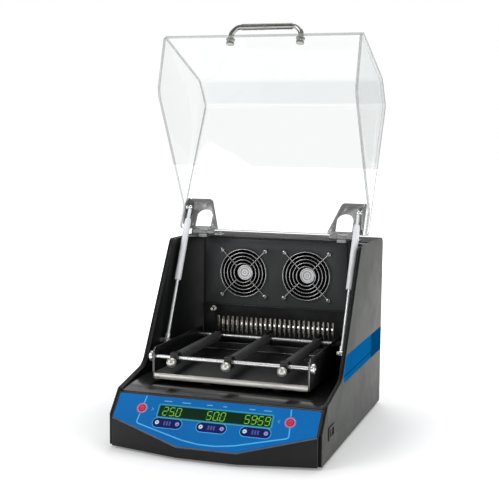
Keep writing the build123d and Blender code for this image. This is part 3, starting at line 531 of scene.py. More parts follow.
def prism_bm(bm, pts, holes, origin, ux, uy, n, depth, mat=0):
    """Adds a closed prism: outline pts (2-D, mm) with holes, on a plane, depth mm along n."""
    loops = [pts] + list(holes)
    lo_edges, rings = [], []
    for lp in loops:
        vs = [bm.verts.new(origin + ux * (p[0] / 1000) + uy * (p[1] / 1000)) for p in lp]
        rings.append(vs)
        for i in range(len(vs)):
            lo_edges.append(bm.edges.new((vs[i], vs[(i + 1) % len(vs)])))
    res = bmesh.ops.triangle_fill(bm, use_beauty=True, use_dissolve=False, edges=lo_edges, normal=n)
    bottom = [g for g in res["geom"] if isinstance(g, bmesh.types.BMFace)]
    top = []
    vmap = {}
    for lp in rings:
        for v in lp:
            vmap[v] = bm.verts.new(v.co + n * (depth / 1000))
    for f in bottom:
        top.append(bm.faces.new([vmap[v] for v in reversed(f.verts)]))
    sides = []
    for vs in rings:
        for i in range(len(vs)):
            a, b2 = vs[i], vs[(i + 1) % len(vs)]
            sides.append(bm.faces.new((a, b2, vmap[b2], vmap[a])))
    for f in bottom + top + sides:
        f.material_index = mat
    return bottom, top, sides


def slope_prism(bm, pts, off0, depth, mat=0, holes=()):
    """pts in (x, s) on the control slope."""
    conv = lambda lp: [(p[0], -p[1]) for p in lp]
    return prism_bm(bm, conv(pts), [conv(h) for h in holes], SLOPE_TOP + SL_N * (off0 / 1000), SL_X, SL_UP, SL_N, depth, mat)


def circle(cx, cy, r, n=32, a0=0.0):
    return [(cx + r * math.cos(a0 + 2 * math.pi * i / n), cy + r * math.sin(a0 + 2 * math.pi * i / n)) for i in range(n)]


def round_poly(pts, radii, n=6):
    out = []
    c = len(pts)
    for i in range(c):
        p, a, b2 = Vector(pts[i]), Vector(pts[i - 1]), Vector(pts[(i + 1) % c])
        rad = radii[i] if isinstance(radii, (list, tuple)) else radii
        if rad <= 0:
            out.append(tuple(p))
            continue
        d1, d2 = (a - p).normalized(), (b2 - p).normalized()
        ang = math.acos(max(-1, min(1, d1.dot(d2))))
        t = rad / math.tan(ang / 2)
        ctr = p + (d1 + d2).normalized() * (rad / math.sin(ang / 2))
        s, e = p + d1 * t - ctr, p + d2 * t - ctr
        sa, ea = math.atan2(s.y, s.x), math.atan2(e.y, e.x)
        da = (ea - sa + math.pi) % (2 * math.pi) - math.pi
        for k in range(n + 1):
            q = sa + da * k / n
            out.append((ctr.x + rad * math.cos(q), ctr.y + rad * math.sin(q)))
    return out


def stroke(path, w, closed=False):
    """Outline polygon of a line of width w through path."""
    n = len(path)
    left, rt = [], []
    for i in range(n):
        p = Vector(path[i])
        a = Vector(path[i - 1]) if (i > 0 or closed) else None
        b2 = Vector(path[(i + 1) % n]) if (i < n - 1 or closed) else None
        d1 = (p - a).normalized() if a is not None else None
        d2 = (b2 - p).normalized() if b2 is not None else None
        if d1 is None:
            nn, k = Vector((-d2.y, d2.x)), 1.0
        elif d2 is None:
            nn, k = Vector((-d1.y, d1.x)), 1.0
        else:
            n1, n2 = Vector((-d1.y, d1.x)), Vector((-d2.y, d2.x))
            nn = (n1 + n2).normalized()
            k = 1.0 / max(0.3, nn.dot(n1))
        left.append(tuple(p + nn * (w / 2 * k)))
        rt.append(tuple(p - nn * (w / 2 * k)))
    return left + rt[::-1]


def basis(axis):
    axis = Vector(axis).normalized()
    a = Vector((1, 0, 0)) if abs(axis.x) < 0.9 else Vector((0, 1, 0))
    e1 = (a - axis * a.dot(axis)).normalized()
    return axis, e1, axis.cross(e1)


def lathe_bm(bm, origin, axis, profile, seg=48, mat=0, ring=False):
    """Adds a solid of revolution: profile is [(along, radius), ...] in mm, capped at its ends, or joined end to start if ring."""
    ax, e1, e2 = basis(axis)
    rings = []
    for a, rad in profile:
        if rad <= 1e-6:
            rings.append([bm.verts.new(origin + ax * (a / 1000))])
        else:
            rings.append([bm.verts.new(origin + ax * (a / 1000) + (e1 * math.cos(2 * math.pi * i / seg) + e2 * math.sin(2 * math.pi * i / seg)) * (rad / 1000)) for i in range(seg)])
    if ring:
        rings.append(rings[0])
    for k in range(len(rings) - 1):
        A, B = rings[k], rings[k + 1]
        for i in range(seg):
            j = (i + 1) % seg
            if len(A) == 1 and len(B) == 1:
                continue
            if len(A) == 1:
                f = bm.faces.new((A[0], B[j], B[i]))
            elif len(B) == 1:
                f = bm.faces.new((A[i], A[j], B[0]))
            else:
                f = bm.faces.new((A[i], A[j], B[j], B[i]))
            f.material_index = mat
    for end, rev in ((rings[0], True), (rings[-1], False)):
        if len(end) > 1 and not ring:
            f = bm.faces.new(end[::-1] if rev else end)
            f.material_index = mat


def rnd(profile_pts, r=0.5, n=3):
    """Rounds the convex and concave corners of an open lathe profile."""
    out = [profile_pts[0]]
    for i in range(1, len(profile_pts) - 1):
        p, a, b2 = Vector(profile_pts[i]), Vector(profile_pts[i - 1]), Vector(profile_pts[i + 1])
        la, lb = (a - p).length, (b2 - p).length
        if la < 1e-6 or lb < 1e-6:
            out.append(tuple(p))
            continue
        d1, d2 = (a - p) / la, (b2 - p) / lb
        ang = math.acos(max(-1, min(1, d1.dot(d2))))
        if ang > math.radians(165):
            out.append(tuple(p))
            continue
        t = min(r / math.tan(ang / 2), la * 0.45, lb * 0.45)
        s, e = p + d1 * t, p + d2 * t
        for k in range(n + 1):
            q = k / n
            out.append(tuple((1 - q) ** 2 * s + 2 * q * (1 - q) * p + q * q * e))
    out.append(profile_pts[-1])
    return out


def tube_bm(bm, path, rad, seg=16, mat=0, closed=False, rads=None):
    """Sweeps a circle along 3-D points (row frame, metres); rad in mm."""
    n = len(path)
    rings = []
    prev = None
    for i in range(n):
        p = path[i]
        if closed:
            t = (path[(i + 1) % n] - path[i - 1]).normalized()
        else:
            t = (path[min(n - 1, i + 1)] - path[max(0, i - 1)]).normalized()
        if prev is None:
            _, e1, e2 = basis(t)
        else:
            e1 = (prev - t * prev.dot(t)).normalized()
            e2 = t.cross(e1)
        prev = e1
        rr = (rads[i] if rads else rad) / 1000
        rings.append([bm.verts.new(p + (e1 * math.cos(2 * math.pi * k / seg) + e2 * math.sin(2 * math.pi * k / seg)) * rr) for k in range(seg)])
    m = n if closed else n - 1
    for i in range(m):
        A, B = rings[i], rings[(i + 1) % n]
        for k in range(seg):
            f = bm.faces.new((A[k], A[(k + 1) % seg], B[(k + 1) % seg], B[k]))
            f.material_index = mat
    if not closed:
        for ring, rev in ((rings[0], True), (rings[-1], False)):
            f = bm.faces.new(ring[::-1] if rev else ring)
            f.material_index = mat


def arc_path(pts, radius, n=10):
    """Polyline with its corners turned into arcs (3-D points in metres, radius in mm)."""
    out = [pts[0]]
    for i in range(1, len(pts) - 1):
        p, a, b2 = pts[i], pts[i - 1], pts[i + 1]
        d1, d2 = (a - p).normalized(), (b2 - p).normalized()
        ang = math.acos(max(-1, min(1, d1.dot(d2))))
        rad = radius / 1000
        t = rad / math.tan(ang / 2)
        ctr = p + (d1 + d2).normalized() * (rad / math.sin(ang / 2))
        s, e = p + d1 * t, p + d2 * t
        for k in range(n + 1):
            q = k / n
            v = (s - ctr).slerp(e - ctr, q)
            out.append(ctr + v)
    out.append(pts[-1])
    return out

# ------------------------------------------------------------------------------------------------
# floor
# ------------------------------------------------------------------------------------------------
fm = bpy.data.meshes.new("floor")
fm.from_pydata([(-14, -14, -0.0002), (14, -14, -0.0002), (14, 14, -0.0002), (-14, 14, -0.0002)], [], [(0, 1, 2, 3)])
floor = bpy.data.objects.new("floor", fm)
scene.collection.objects.link(floor)
fm.materials.append(floor_mat)

# ------------------------------------------------------------------------------------------------
# housing
# ------------------------------------------------------------------------------------------------
# outer side faces get the grey paint with its painted reflection, all other faces the black
def side_rule(f):
    return 0 if abs(f.normal.x) > 0.9 and abs(f.calc_center_median().x) > 0.1785 else 2


refine("side_panels", "side_plates", ["side", "side_edge", "housing"], 0.8, 3, edge_slot=1, face_rule=side_rule)


def fascia_rule(f):
    return 2 if f.normal.dot(SL_N) > 0.99 else 0


refine("front_fascia", "fascia_shell", ["fascia", "fascia_edge_wear_and_highlight", "slope_black"], 0.7, 2, angle=20, edge_slot=1, face_rule=fascia_rule)
refine("rear_cover", "rear_and_top_cover", ["housing", "housing_edge_wear_and_highlight"], 0.4, 2, edge_slot=1)
refine("base_pan", "bottom_pan", ["zinc"], 0.4, 2)


def tub_rule(f):
    c = f.calc_center_median()
    deck = S_LO.z + 0.0908
    return 0 if (c.z < deck + 0.0006 and f.normal.z > 0.9) else 1


refine("chamber_tub", "chamber_lining", ["gloss_black", "satin_black", "housing_edge_wear_and_highlight"], 0.4, 2, angle=50, edge_slot=2, face_rule=tub_rule)
refine("fan_panel", "fan_wall_panel", ["panel", "housing_edge_wear_and_highlight"], 0.5, 2, edge_slot=1)
refine("platform_tray", "tray", ["tray_black", "bracket_edge_wear_and_highlight"], 0.5, 2, edge_slot=1)
refine("tray_front_edge", "tray_edge_strip", ["edge_strip"], 0.5, 2)
refine("carriage_plate", "carriage", ["alloy"], 0.5, 2)
refine("hinge_brackets", "hood_brackets", ["bracket", "bracket_edge_wear_and_highlight"], 0.5, 2, edge_slot=1)
refine("hinge_leaves", "fixed_leaves", ["bracket", "bracket_edge_wear_and_highlight"], 0.5, 2, edge_slot=1)

# side band: film with a darker pinline and a darker rear part, on both sides
band = bmesh.new()
for sx in (-1, 1):
    for pts, th, mi in (([(139, 102), (352, 102), (352, 146), (154, 146), (135.5, 115.5)], 0.20, 0),
                        ([(352, 102), (442, 102), (442, 146), (352, 146)], 0.20, 1),
                        ([(136.9, 112.2), (442, 112.2), (442, 114.6), (136.0, 114.6)], 0.26, 1)):
        o = D(180.0 * sx, 0, 0)
        prism_bm(band, [(p[0], p[1]) for p in pts], [], o, Vector((0, 1, 0)), Vector((0, 0, 1)), Vector((sx, 0, 0)), th, mi)
link("side_band", bm_to_mesh(band, "side_band"), ["stripe", "stripe_dark"], "root", "side_film", ("side_graphics",), 20)

# ------------------------------------------------------------------------------------------------
# key panel: film, artwork, window, keys
# ------------------------------------------------------------------------------------------------
RED = [(-125.7, 33.3), (125.7, 33.3)]
NAVY = [(-93.0, 56.0), (-58.0, 56.0), (-17.8, 56.0), (17.8, 56.0), (56.0, 56.0), (91.0, 56.0)]
FILM = [(-171.5, 9.5), (171.5, 9.5), (171.5, 53.4), (50.0, 92.6), (-50.0, 92.6), (-171.5, 53.4)]
bm = bmesh.new()
slope_prism(bm, round_poly(FILM, [3, 3, 3, 6, 6, 3]), 0.0, 0.78, 0,
            [[(-95, 25.5), (95, 25.5), (95, 44.5), (-95, 44.5)]] + [circle(x, q, 6.8, 40) for x, q in RED] + [circle(x, q, 5.2, 32) for x, q in NAVY])
link("key_panel_film", bm_to_mesh(bm, "key_panel_film"), ["overlay"], "root", "overlay_film", ("control_overlay",), 30)

bm = bmesh.new()
slope_prism(bm, stroke([(-172.4, 54.6), (-50.3, 94.0), (50.3, 94.0), (172.4, 54.6)], 2.0), -0.05, 0.50, 0)
link("slope_trim", bm_to_mesh(bm, "slope_trim"), ["trim"], "root", "fascia_paint", (), 25)

art = bmesh.new()
ART = ["print_light", "print_navy", "print_white", "print_pink", "lens_frame", "print_dim", "print_caption"]


def smooth_path(pts, radius, n=8):
    out = [pts[0]]
    for i in range(1, len(pts) - 1):
        p, a, b2 = Vector(pts[i]), Vector(pts[i - 1]), Vector(pts[i + 1])
        d1, d2 = (a - p).normalized(), (b2 - p).normalized()
        t = min(radius, (a - p).length * 0.45, (b2 - p).length * 0.45)
        q0, q1 = p + d1 * t, p + d2 * t
        for k in range(n + 1):
            w = k / n
            out.append(tuple((1 - w) ** 2 * q0 + 2 * w * (1 - w) * p + w * w * q1))
    out.append(pts[-1])
    return out


def print_poly(pts, mat, h=0.05, base=0.78, holes=()):
    slope_prism(art, pts, base, h, mat, holes)


line = [(-126.8, 43.2), (-128.6, 60.0), (-44, 82.0), (-14, 86.3), (14, 86.3), (44, 82.0), (128.6, 60.0), (126.8, 43.2)]
line = [line[0]] + smooth_path(line[1:-1] and line, 5.0)[1:-1] + [line[-1]]
print_poly(stroke(line, 2.1), 0)
for sx in (-1, 1):
    print_poly(stroke([(sx * 123.2, 10.8), (sx * 124.6, 23.4)], 2.0), 0)
for x, q in RED:
    print_poly(circle(x, q, 9.2, 40), 3, 0.05, 0.78, [circle(x, q, 7.9, 40)])
    print_poly(circle(x, q, 7.9, 40), 0, 0.04, 0.78, [circle(x, q, 6.9, 40)])
print_poly(round_poly([(-98.2, 22.6), (98.2, 22.6), (98.2, 47.4), (-98.2, 47.4)], 4.0), 4, 0.05, 0.78,
           [round_poly([(-96.3, 24.4), (96.3, 24.4), (96.3, 45.6), (-96.3, 45.6)], 2.6)])
for gx in (-75.6, 0.0, 73.4):
    w, h = 25.0, 8.2
    hull = round_poly([(gx - w, 56 - h), (gx + w, 56 - h), (gx + w, 56 + h), (gx - w, 56 + h)], 8.0, 10)
    rim = round_poly([(gx - w - 1.0, 55 - h), (gx + w + 1.0, 55 - h), (gx + w + 1.0, 57 + h), (gx - w - 1.0, 57 + h)], 9.0, 10)
    ks = [p for p in NAVY if abs(p[0] - gx) < 22]
    holes = [circle(x, q, 5.3, 32) for x, q in ks]
    print_poly(hull, 1, 0.05, 0.78, holes)
    print_poly(rim, 0, 0.03, 0.78, [hull])
    for k in (-1, 0, 1):
        print_poly(round_poly([(gx + k * 4.6 - 1.4, 52.2), (gx + k * 4.6 + 1.4, 52.2), (gx + k * 4.6 + 1.4, 59.8), (gx + k * 4.6 - 1.4, 59.8)], 0.7, 3), 5, 0.03, 0.83)
# captions above the window as plain dashes, and a small tick beside each start key
for gx, ws in ((-84.0, (14.0,)), (-52.0, (15.0,)), (-12.0, (10.0,)), (14.0, (7.0,)), (60.0, (10.0,)), (86.0, (13.0,))):
    x = gx - (sum(ws) + 2.4 * (len(ws) - 1)) / 2
    for w in ws:
        print_poly([(x, 16.4), (x + w, 16.4), (x + w, 18.0), (x, 18.0)], 6, 0.04)
        x += w + 2.4
for sx in (-1, 1):
    print_poly(stroke([(sx * 109.0, 30.6), (sx * 105.6, 33.3), (sx * 109.0, 36.0)], 0.9), 0, 0.04)
link("panel_artwork", bm_to_mesh(art, "panel_artwork"), ART, "root", "overlay_film", (), 25)

# display window with rounded corners and glowing seven-segment numbers
bm = bmesh.new()
slope_prism(bm, round_poly([(-94.9, 25.6), (94.9, 25.6), (94.9, 44.4), (-94.9, 44.4)], 1.2, 4), -0.4, 1.18, 0)
link("display_lens", bm_to_mesh(bm, "display_lens"), ["lens"], "root", "display_lens", ("display_window",), 30)
seg_bm = bmesh.new()
SEGS = {"a": ((-1, -2), (1, -2)), "b": ((1, -2), (1, 0)), "c": ((1, 0), (1, 2)), "d": ((-1, 2), (1, 2)), "e": ((-1, 0), (-1, 2)),
        "f": ((-1, -2), (-1, 0)), "g": ((-1, 0), (1, 0))}
NUM = {"0": "abcdef", "2": "abged", "5": "afgcd", "9": "abcdfg", "3": "abgcd", "7": "abc"}


def digit(ch, cx, cy, mat=0, w=3.7, h=3.6, t=1.5, lean=0.08):
    for nm in "abcdefg":
        (x0, y0), (x1, y1) = SEGS[nm]
        p, q = Vector((x0 * w, y0 * h)), Vector((x1 * w, y1 * h))
        dd = (q - p).normalized()
        nn = Vector((-dd.y, dd.x))
        p, q = p + dd * 0.35, q - dd * 0.35
        pts = [p, p + dd * 0.7 + nn * t / 2, q - dd * 0.7 + nn * t / 2, q, q - dd * 0.7 - nn * t / 2, p + dd * 0.7 - nn * t / 2]
        pts = [(cx + v.x - lean * v.y, cy + v.y) for v in pts]
        slope_prism(seg_bm, pts, 0.78, 0.05, 0 if nm in NUM[ch] else 1)


for text, x0, step in (("250", -84.0, 11.4), ("500", -8.5, 11.4), ("5959", 55.5, 11.2)):
    for i, ch in enumerate(text):
        digit(ch, x0 + i * step, 35.0)
    if len(text) == 3:
        slope_prism(seg_bm, circle(x0 + 1.5 * step - 0.8, 41.6, 0.9, 12), 0.78, 0.05, 0)
    else:
        for q in (32.2, 37.8):
            slope_prism(seg_bm, circle(x0 + 1.5 * step, q, 0.9, 12), 0.78, 0.05, 0)
link("display_numbers", bm_to_mesh(seg_bm, "display_numbers"), ["digit", "digit_off"], "root", "display_lens", (), 25)


def key_piece(name, node, x, q, r0, flange, mats, mark):
    bm = bmesh.new()
    o = SL(x, q)
    prof = rnd([(-7.9, 0), (-7.9, 2.0), (-4.6, 2.0), (-4.6, flange), (-3.5, flange), (-3.5, r0), (1.05, r0), (1.38, r0 - 0.7), (1.22, r0 - 1.5), (1.15, 0)], 0.25)
    lathe_bm(bm, o, SL_N, prof, 40, 0)
    for pts, mat, holes in mark(x, q):
        slope_prism(bm, pts, 1.0, 0.34, mat, holes)
    body = frame["nodes"][node]["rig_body"]
    sl = next((t["material_slot"] for t in REC["subparts"] if t["node"] == node), None)
    return link(name, bm_to_mesh(bm, name), mats, body, sl, (node,), 30)


for i, (x, q) in enumerate(RED):
    nm = ("left", "right")[i]
    key_piece("start_key_" + nm, "key_start_" + nm, x, q, 6.4, 8.2, ["key_red", "print_pink"],
              lambda x, q: [(circle(x, q, 3.7, 32), 1, [circle(x, q, 2.9, 32)]), ([(x - 0.4, q - 2.2), (x + 0.4, q - 2.2), (x + 0.4, q + 0.6), (x - 0.4, q + 0.6)], 1, [])])
for i, (x, q) in enumerate(NAVY):
    light = "print_white" if i % 2 == 0 else "print_lilac"
    s1 = 1 if i % 2 == 0 else -1
    key_piece("setting_key_%d" % (i + 1), "key_set_%d" % (i + 1), x, q, 4.8, 6.4, ["key_navy", light],
              lambda x, q, s1=s1: [(circle(x, q, 3.5, 32), 1, [[(x - 1.5, q - 0.9 * s1), (x, q + 1.3 * s1), (x + 1.5, q - 0.9 * s1)]])])

# ------------------------------------------------------------------------------------------------
# hood
# ------------------------------------------------------------------------------------------------
def opened_yz(y, z):
    v = OPEN @ D(0, y, z)
    return Vector((v.y, v.z))


E0 = (opened_yz(22.8, 96.5) + opened_yz(27.8, 97.1)) / 2
E1 = opened_yz(293.0, 331.6)
bd = opened_yz(26.1, 334.1) - opened_yz(0.1, 277.9)
BAND_N = Vector((0, -bd.y, bd.x)).normalized()


def shell_rule(f):
    if abs(f.normal.x) > 0.9:
        return 1
    c = f.calc_center_median()
    p = Vector((c.y, c.z))
    if min((p - E0).length, (p - E1).length) < 0.0036:
        return 1
    # band faces take the darker acrylic that carries the painted shade of the bend
    return 2 if abs((f.normal - BAND_N).length) < 0.12 or abs((f.normal + BAND_N).length) < 0.12 else 0


rim_pts = [opened_yz(y, z) for y, z in ((30.5, 90.3), (128.0, 110.8), (251.8, 319.6), (293.0, 319.6))]


def side_sheet_rule(f):
    if abs(f.normal.x) > 0.9:
        return 0
    c = f.calc_center_median()
    p = Vector((c.y, c.z))
    best = min(((p - a) - (b - a) * max(0, min(1, (p - a).dot(b - a) / (b - a).length_squared))).length for a, b in zip(rim_pts, rim_pts[1:]))
    return 1 if best < 0.006 else 2


refine("lid_shell", "hood_sheet", ["acrylic", "acrylic_edge_and_painted_shade", "acrylic_band_painted_shade"], 0.7, 2, edge_slot=1, face_rule=shell_rule)
refine("lid_sides", "hood_side_sheets", ["acrylic", "acrylic_edge_and_painted_shade", "acrylic_glue"], 0.5, 2, edge_slot=1, face_rule=side_sheet_rule)

# ------------------------------------------------------------------------------------------------
# clamp bars
# ------------------------------------------------------------------------------------------------
BAR_X = [(-99.5, "1"), (-3.3, "2"), (93.2, "3")]
CHX = []


def bar_rule(f):
    c = f.calc_center_median()
    y = (c.y - S_LO.y) * 1000
    z = (c.z - S_LO.z) * 1000
    if y < 78.6:
        return 0
    if y < 95.6 or y > 292.4:
        return 1
    return 2


for bx, n in BAR_X:
    bm = bmesh.new()
    for y0, y1 in ((79.0, 95.0), (293.0, 309.0)):
        pts = round_poly([(y0, 124.0), (y1, 124.0), (y1, 143.0), (y0, 143.0)], 2.4, 5)
        yc = 86.0 if y0 < 100 else 301.0
        prism_bm(bm, pts, [circle(yc, 134.0, 3.26, 28)], D(bx - 6.5, 0, 0), Vector((0, 1, 0)), Vector((0, 0, 1)), Vector((1, 0, 0)), 13.0, 1)
    lathe_bm(bm, D(bx, 95, 134.0), (0, 1, 0), [(0, 0), (0, 3.0), (198, 3.0), (198, 0)], 24, 2)
    ball = [(-8.2 * math.cos(math.pi * k / 18), 8.2 * math.sin(math.pi * k / 18)) for k in range(16)]
    ball = [(a, max(0.0, b2)) for a, b2 in ball if a < 6.6]
    prof = [(ball[0][0], 0.0)] + ball[1:] + [(7.6, 3.6), (10.0, 3.5), (10.0, 0)]
    lathe_bm(bm, D(bx, 69.0, 129.0), (0, 1, 0), prof, 44, 0)
    lathe_bm(bm, D(bx, 76.6, 129.0), (0, 1, 0), rnd([(0, 0), (0, 5.2), (2.3, 5.6), (2.3, 0)], 0.4), 32, 0)
    lathe_bm(bm, D(bx, 301.0, 143.0), (0, 0, 1), rnd([(0, 0), (0, 4.2), (1.4, 4.2), (1.6, 6.0), (6.3, 6.0), (7.0, 4.8), (7.0, 0)], 0.5), 40, 1)
    link("bar_fittings_" + n, bm_to_mesh(bm, "bar_fittings_" + n), ["knob", "block", "bright"], "bar_" + n, None, ("clamp_bar_" + n,), 32)
    bm = bmesh.new()
    prof = [(0, 3.05), (0, 7.9), (0.6, 8.5)]
    for k in range(1, 32):
        prof += [(k * 6.0, 8.5)]
    prof += [(193.4, 8.5), (194, 7.9), (194, 3.05)]
    lathe_bm(bm, D(bx, 97, 134.0), (0, 1, 0), [(0, 0)] + prof + [(194, 0)], 48, 0)
    link("bar_sleeve_" + n, bm_to_mesh(bm, "bar_sleeve_" + n), ["sleeve"], "bar_" + n, None, ("clamp_sleeve_" + n,), 40)

# cross rods and their end knobs
bm = bmesh.new()
for y in (86.0, 301.0):
    lathe_bm(bm, D(-137, y, 134.0), (1, 0, 0), [(0, 0), (0, 3.2), (274, 3.2), (274, 0)], 32, 0)
link("cross_rods", bm_to_mesh(bm, "cross_rods"), ["chrome"], "platform", None, ("clamp_rods",), 32)
bm = bmesh.new()
for y in (86.0, 301.0):
    for sx in (-1, 1):
        lathe_bm(bm, D(sx * 137, y, 134.0), (sx, 0, 0), rnd([(0, 0), (0, 6.4), (1.2, 6.4), (1.6, 8.5), (6.2, 8.5), (7.5, 6.6), (7.5, 2.6), (6.6, 2.2), (6.6, 0)], 0.5), 44, 0)
link("rod_knobs", bm_to_mesh(bm, "rod_knobs"), ["chrome"], "platform", None, ("rod_end_knobs",), 32)

# ------------------------------------------------------------------------------------------------
# gas struts
# ------------------------------------------------------------------------------------------------
B = Vector((196.0, 138.0))
U = Vector((307.4, 371.6))
SLEN = (U - B).length
UD = (U - B) / SLEN
for nm, sx in (("left", -1), ("right", 1)):
    ax = Vector((0, UD.x, UD.y))
    org = D(161.0 * sx, B.x, B.y)
    bm = bmesh.new()
    lathe_bm(bm, org, ax, rnd([(4, 0), (4, 4.2), (14, 4.2), (14, 2.75), (142.8, 2.75), (142.8, 4.7), (155, 4.7), (155, 0)], 0.5), 36, 0)
    lathe_bm(bm, org + Vector((-4.5 * sx / 1000, 0, 0)), (sx, 0, 0), rnd([(0, 3.05), (0, 6.0), (9.0, 6.0), (9.0, 3.05)], 0.6), 40, 1, True)
    link("strut_rod_" + nm + "_piece", bm_to_mesh(bm, "strut_rod_" + nm), ["strut_rod", "bright"], "strut_rod_" + nm, None, ("strut_rod_" + nm,), 32)
    bm = bmesh.new()
    lathe_bm(bm, org, ax, rnd([(232.0, 0), (232.0, 5.0), (119.6, 5.0), (119.6, 2.8), (115.6, 2.8), (115.6, 5.2), (117.2, 6.0), (231.8, 6.0), (233.4, 5.5), (236.0, 5.2), (236.0, 3.2), (SLEN - 3.6, 3.2), (SLEN - 3.6, 0)], 0.5), 40, 0)
    lathe_bm(bm, org + ax * 0.0 + ax * (SLEN / 1000), ax, [(-4.5 * math.cos(math.pi * k / 14), 4.5 * math.sin(math.pi * k / 14)) for k in range(15)], 32, 1)
    lathe_bm(bm, org + ax * (SLEN / 1000), (sx, 0, 0), rnd([(0, 0), (0, 3.0), (4.9, 3.0), (4.9, 4.6), (7.1, 4.6), (7.1, 0)], 0.4), 32, 1)
    link("strut_cylinder_" + nm + "_piece", bm_to_mesh(bm, "strut_cylinder_" + nm), ["strut", "bright"], "strut_cylinder_" + nm, None, ("strut_cylinder_" + nm,), 32)

# ------------------------------------------------------------------------------------------------
# fans
# ------------------------------------------------------------------------------------------------
g = bmesh.new()
for sx in (-1, 1):
    cx = 61.0 * sx
    for rr in (18.2, 24.8, 31.4, 38.0, 44.6):
        tube_bm(g, [D(cx + rr * math.cos(2 * math.pi * k / 72), 325.5, 250.5 + rr * math.sin(2 * math.pi * k / 72)) for k in range(72)], 0.85, 12, 0, True)
    for a in (45, 135, 225, 315):
        ca, sa = math.cos(math.radians(a)), math.sin(math.radians(a))
        tube_bm(g, [D(cx + ca * q, 326.7, 250.5 + sa * q) for q in (18.0, 30.0, 44.0, 56.6)], 1.05, 12, 0)
        q = 42.5 * math.sqrt(2)
        lathe_bm(g, D(cx + ca * q, 325.6, 250.5 + sa * q), (0, 1, 0), rnd([(0, 0), (0, 3.8), (2.0, 3.8), (2.0, 3.0), (4.4, 3.0), (4.4, 0)], 0.3), 28, 0)
link("fan_grilles", bm_to_mesh(g, "fan_grilles"), ["guard"], "root", None, ("fan_guards",), 32)

for nm, sx in (("left", -1), ("right", 1)):
    cx = 61.0 * sx
    bm = bmesh.new()
    c0 = D(cx, 332.0, 250.5)
    lathe_bm(bm, c0, (0, 1, 0), rnd([(3.0, 0), (3.0, 14.4), (3.8, 15.5), (19.0, 15.5), (19.0, 2.0), (25.5, 2.0), (25.5, 0)], 0.6), 56, 0)
    lathe_bm(bm, c0, (0, 1, 0), [(2.75, 0), (2.75, 13.9), (3.0, 14.1), (3.1, 0)], 56, 1)
    for r0, r1 in ((11.0, 12.1), (6.2, 8.6), (2.0, 3.4)):
        ringv = []
        for rr, yy in ((r0, 2.62), (r1, 2.62), (r1, 2.76), (r0, 2.76)):
            ringv.append([bm.verts.new(c0 + Vector((rr * math.cos(2 * math.pi * k / 48), yy, rr * math.sin(2 * math.pi * k / 48))) / 1000) for k in range(48)])
        for j in range(4):
            A, Bq = ringv[j], ringv[(j + 1) % 4]
            for k in range(48):
                fc = bm.faces.new((A[k], A[(k + 1) % 48], Bq[(k + 1) % 48], Bq[k]))
                fc.material_index = 2
    for b in range(7):
        rows = []
        for i in range(9):
            rr = 14.8 + (41.9 - 14.8) * i / 8
            sweep = math.radians(b * 360 / 7 + 16 * (i / 8) ** 1.4)
            chord = 11.5 + 3.5 * i / 8
            pitch = math.radians(46 - 20 * i / 8)
            row = []
            for j in range(7):
                u2 = j / 6 - 0.5
                tang = chord * u2 * 2 * 0.5 * math.cos(pitch) * 2
                yy = 11 + chord * u2 * math.sin(pitch) * 1.05 + 1.0 * (0.25 - u2 * u2)
                an = sweep + tang / rr * 0.9
                row.append((rr, an, yy))
            rows.append(row)
        top = [[bm.verts.new(c0 + Vector((rr * math.cos(an), yy - 0.6, rr * math.sin(an))) / 1000) for rr, an, yy in row] for row in rows]
        bot = [[bm.verts.new(c0 + Vector((rr * math.cos(an), yy + 0.6, rr * math.sin(an))) / 1000) for rr, an, yy in row] for row in rows]
        for i in range(8):
            for j in range(6):
                bm.faces.new((top[i][j], top[i + 1][j], top[i + 1][j + 1], top[i][j + 1]))
                bm.faces.new((bot[i][j], bot[i][j + 1], bot[i + 1][j + 1], bot[i + 1][j]))
        for i in range(8):
            bm.faces.new((top[i][0], bot[i][0], bot[i + 1][0], top[i + 1][0]))
            bm.faces.new((top[i][6], top[i + 1][6], bot[i + 1][6], bot[i][6]))
        for j in range(6):
            bm.faces.new((top[0][j], top[0][j + 1], bot[0][j + 1], bot[0][j]))
            bm.faces.new((top[8][j], bot[8][j], bot[8][j + 1], top[8][j + 1]))
    link("impeller_" + nm, bm_to_mesh(bm, "impeller_" + nm), ["blade", "hub", "hub_ring"], "fan_" + nm, None, ("fan_impeller_" + nm,), 34)

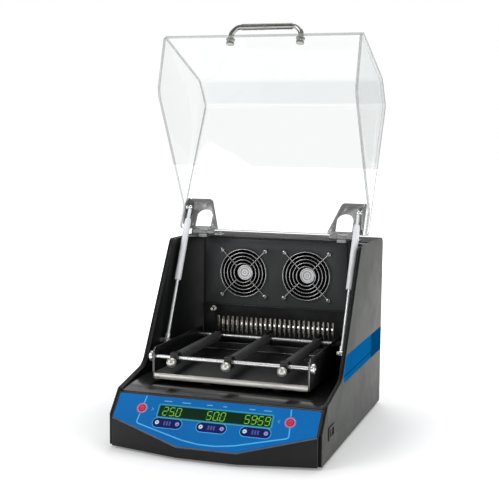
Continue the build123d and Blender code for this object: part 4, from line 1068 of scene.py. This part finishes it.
# screws with domed heads and a cross recess: four on each fan grille, eight in the rear cover
bm = bmesh.new()


def screw(o, ax, r, h):
    ax, e1, e2 = basis(ax)
    lathe_bm(bm, o, ax, [(0, 0), (0, r * 0.98), (h * 0.35, r), (h * 0.72, r * 0.86), (h * 0.94, r * 0.55), (h, r * 0.40), (h, 0)], 32, 0)
    w, q = r * 0.13, r * 0.52
    cross = [(-w, -q), (w, -q), (w, -w), (q, -w), (q, w), (w, w), (w, q), (-w, q), (-w, w), (-q, w), (-q, -w), (-w, -w)]
    prism_bm(bm, cross, [], o + ax * (h * 0.90 / 1000), e1, e2, ax, h * 0.12, 1)


for sx in (-1, 1):
    for a in (45, 135, 225, 315):
        q = 42.5 * math.sqrt(2)
        screw(D(61.0 * sx + q * math.cos(math.radians(a)), 325.3, 250.5 + q * math.sin(math.radians(a))), (0, -1, 0), 3.2, 2.6)
    for z in (20, 110, 200, 295):
        screw(D(165 * sx, 443.0, z), (0, 1, 0), 4.0, 2.2)
link("cover_screws", bm_to_mesh(bm, "cover_screws"), ["screw", "recess"], "root", None, ("panel_screws",), 34)

refine("power_inlet", "mains_inlet", ["moulding", "housing_edge_wear_and_highlight"], 0.4, 2, edge_slot=1)
refine("power_switch_housing", "switch_bezel", ["moulding", "housing_edge_wear_and_highlight"], 0.4, 2, edge_slot=1)
refine("power_rocker", "switch_rocker", ["moulding", "housing_edge_wear_and_highlight"], 0.4, 2, edge_slot=1)
PLAIN = {
    "control_board": "board", "feet": "rubber",
    "fan_frames": "blade", "air_heater": "fins",
    "temperature_probe": "bright", "power_supply": "supply", "spindle_housings": "alloy", "drive_crank": "crank",
    "crank_counterweight": "iron", "idler_crank_left": "crank", "idler_crank_right": "crank", "drive_motor": "motor", "motor_bracket": "zinc",
    "motor_pulley": "alloy", "drive_belt": "belt", "lid_handle": "handle", "strut_base_studs": "screw"}
for n, m in PLAIN.items():
    o = frame["nodes"][n]
    o.data.materials.clear()
    o.data.materials.append(M[m])
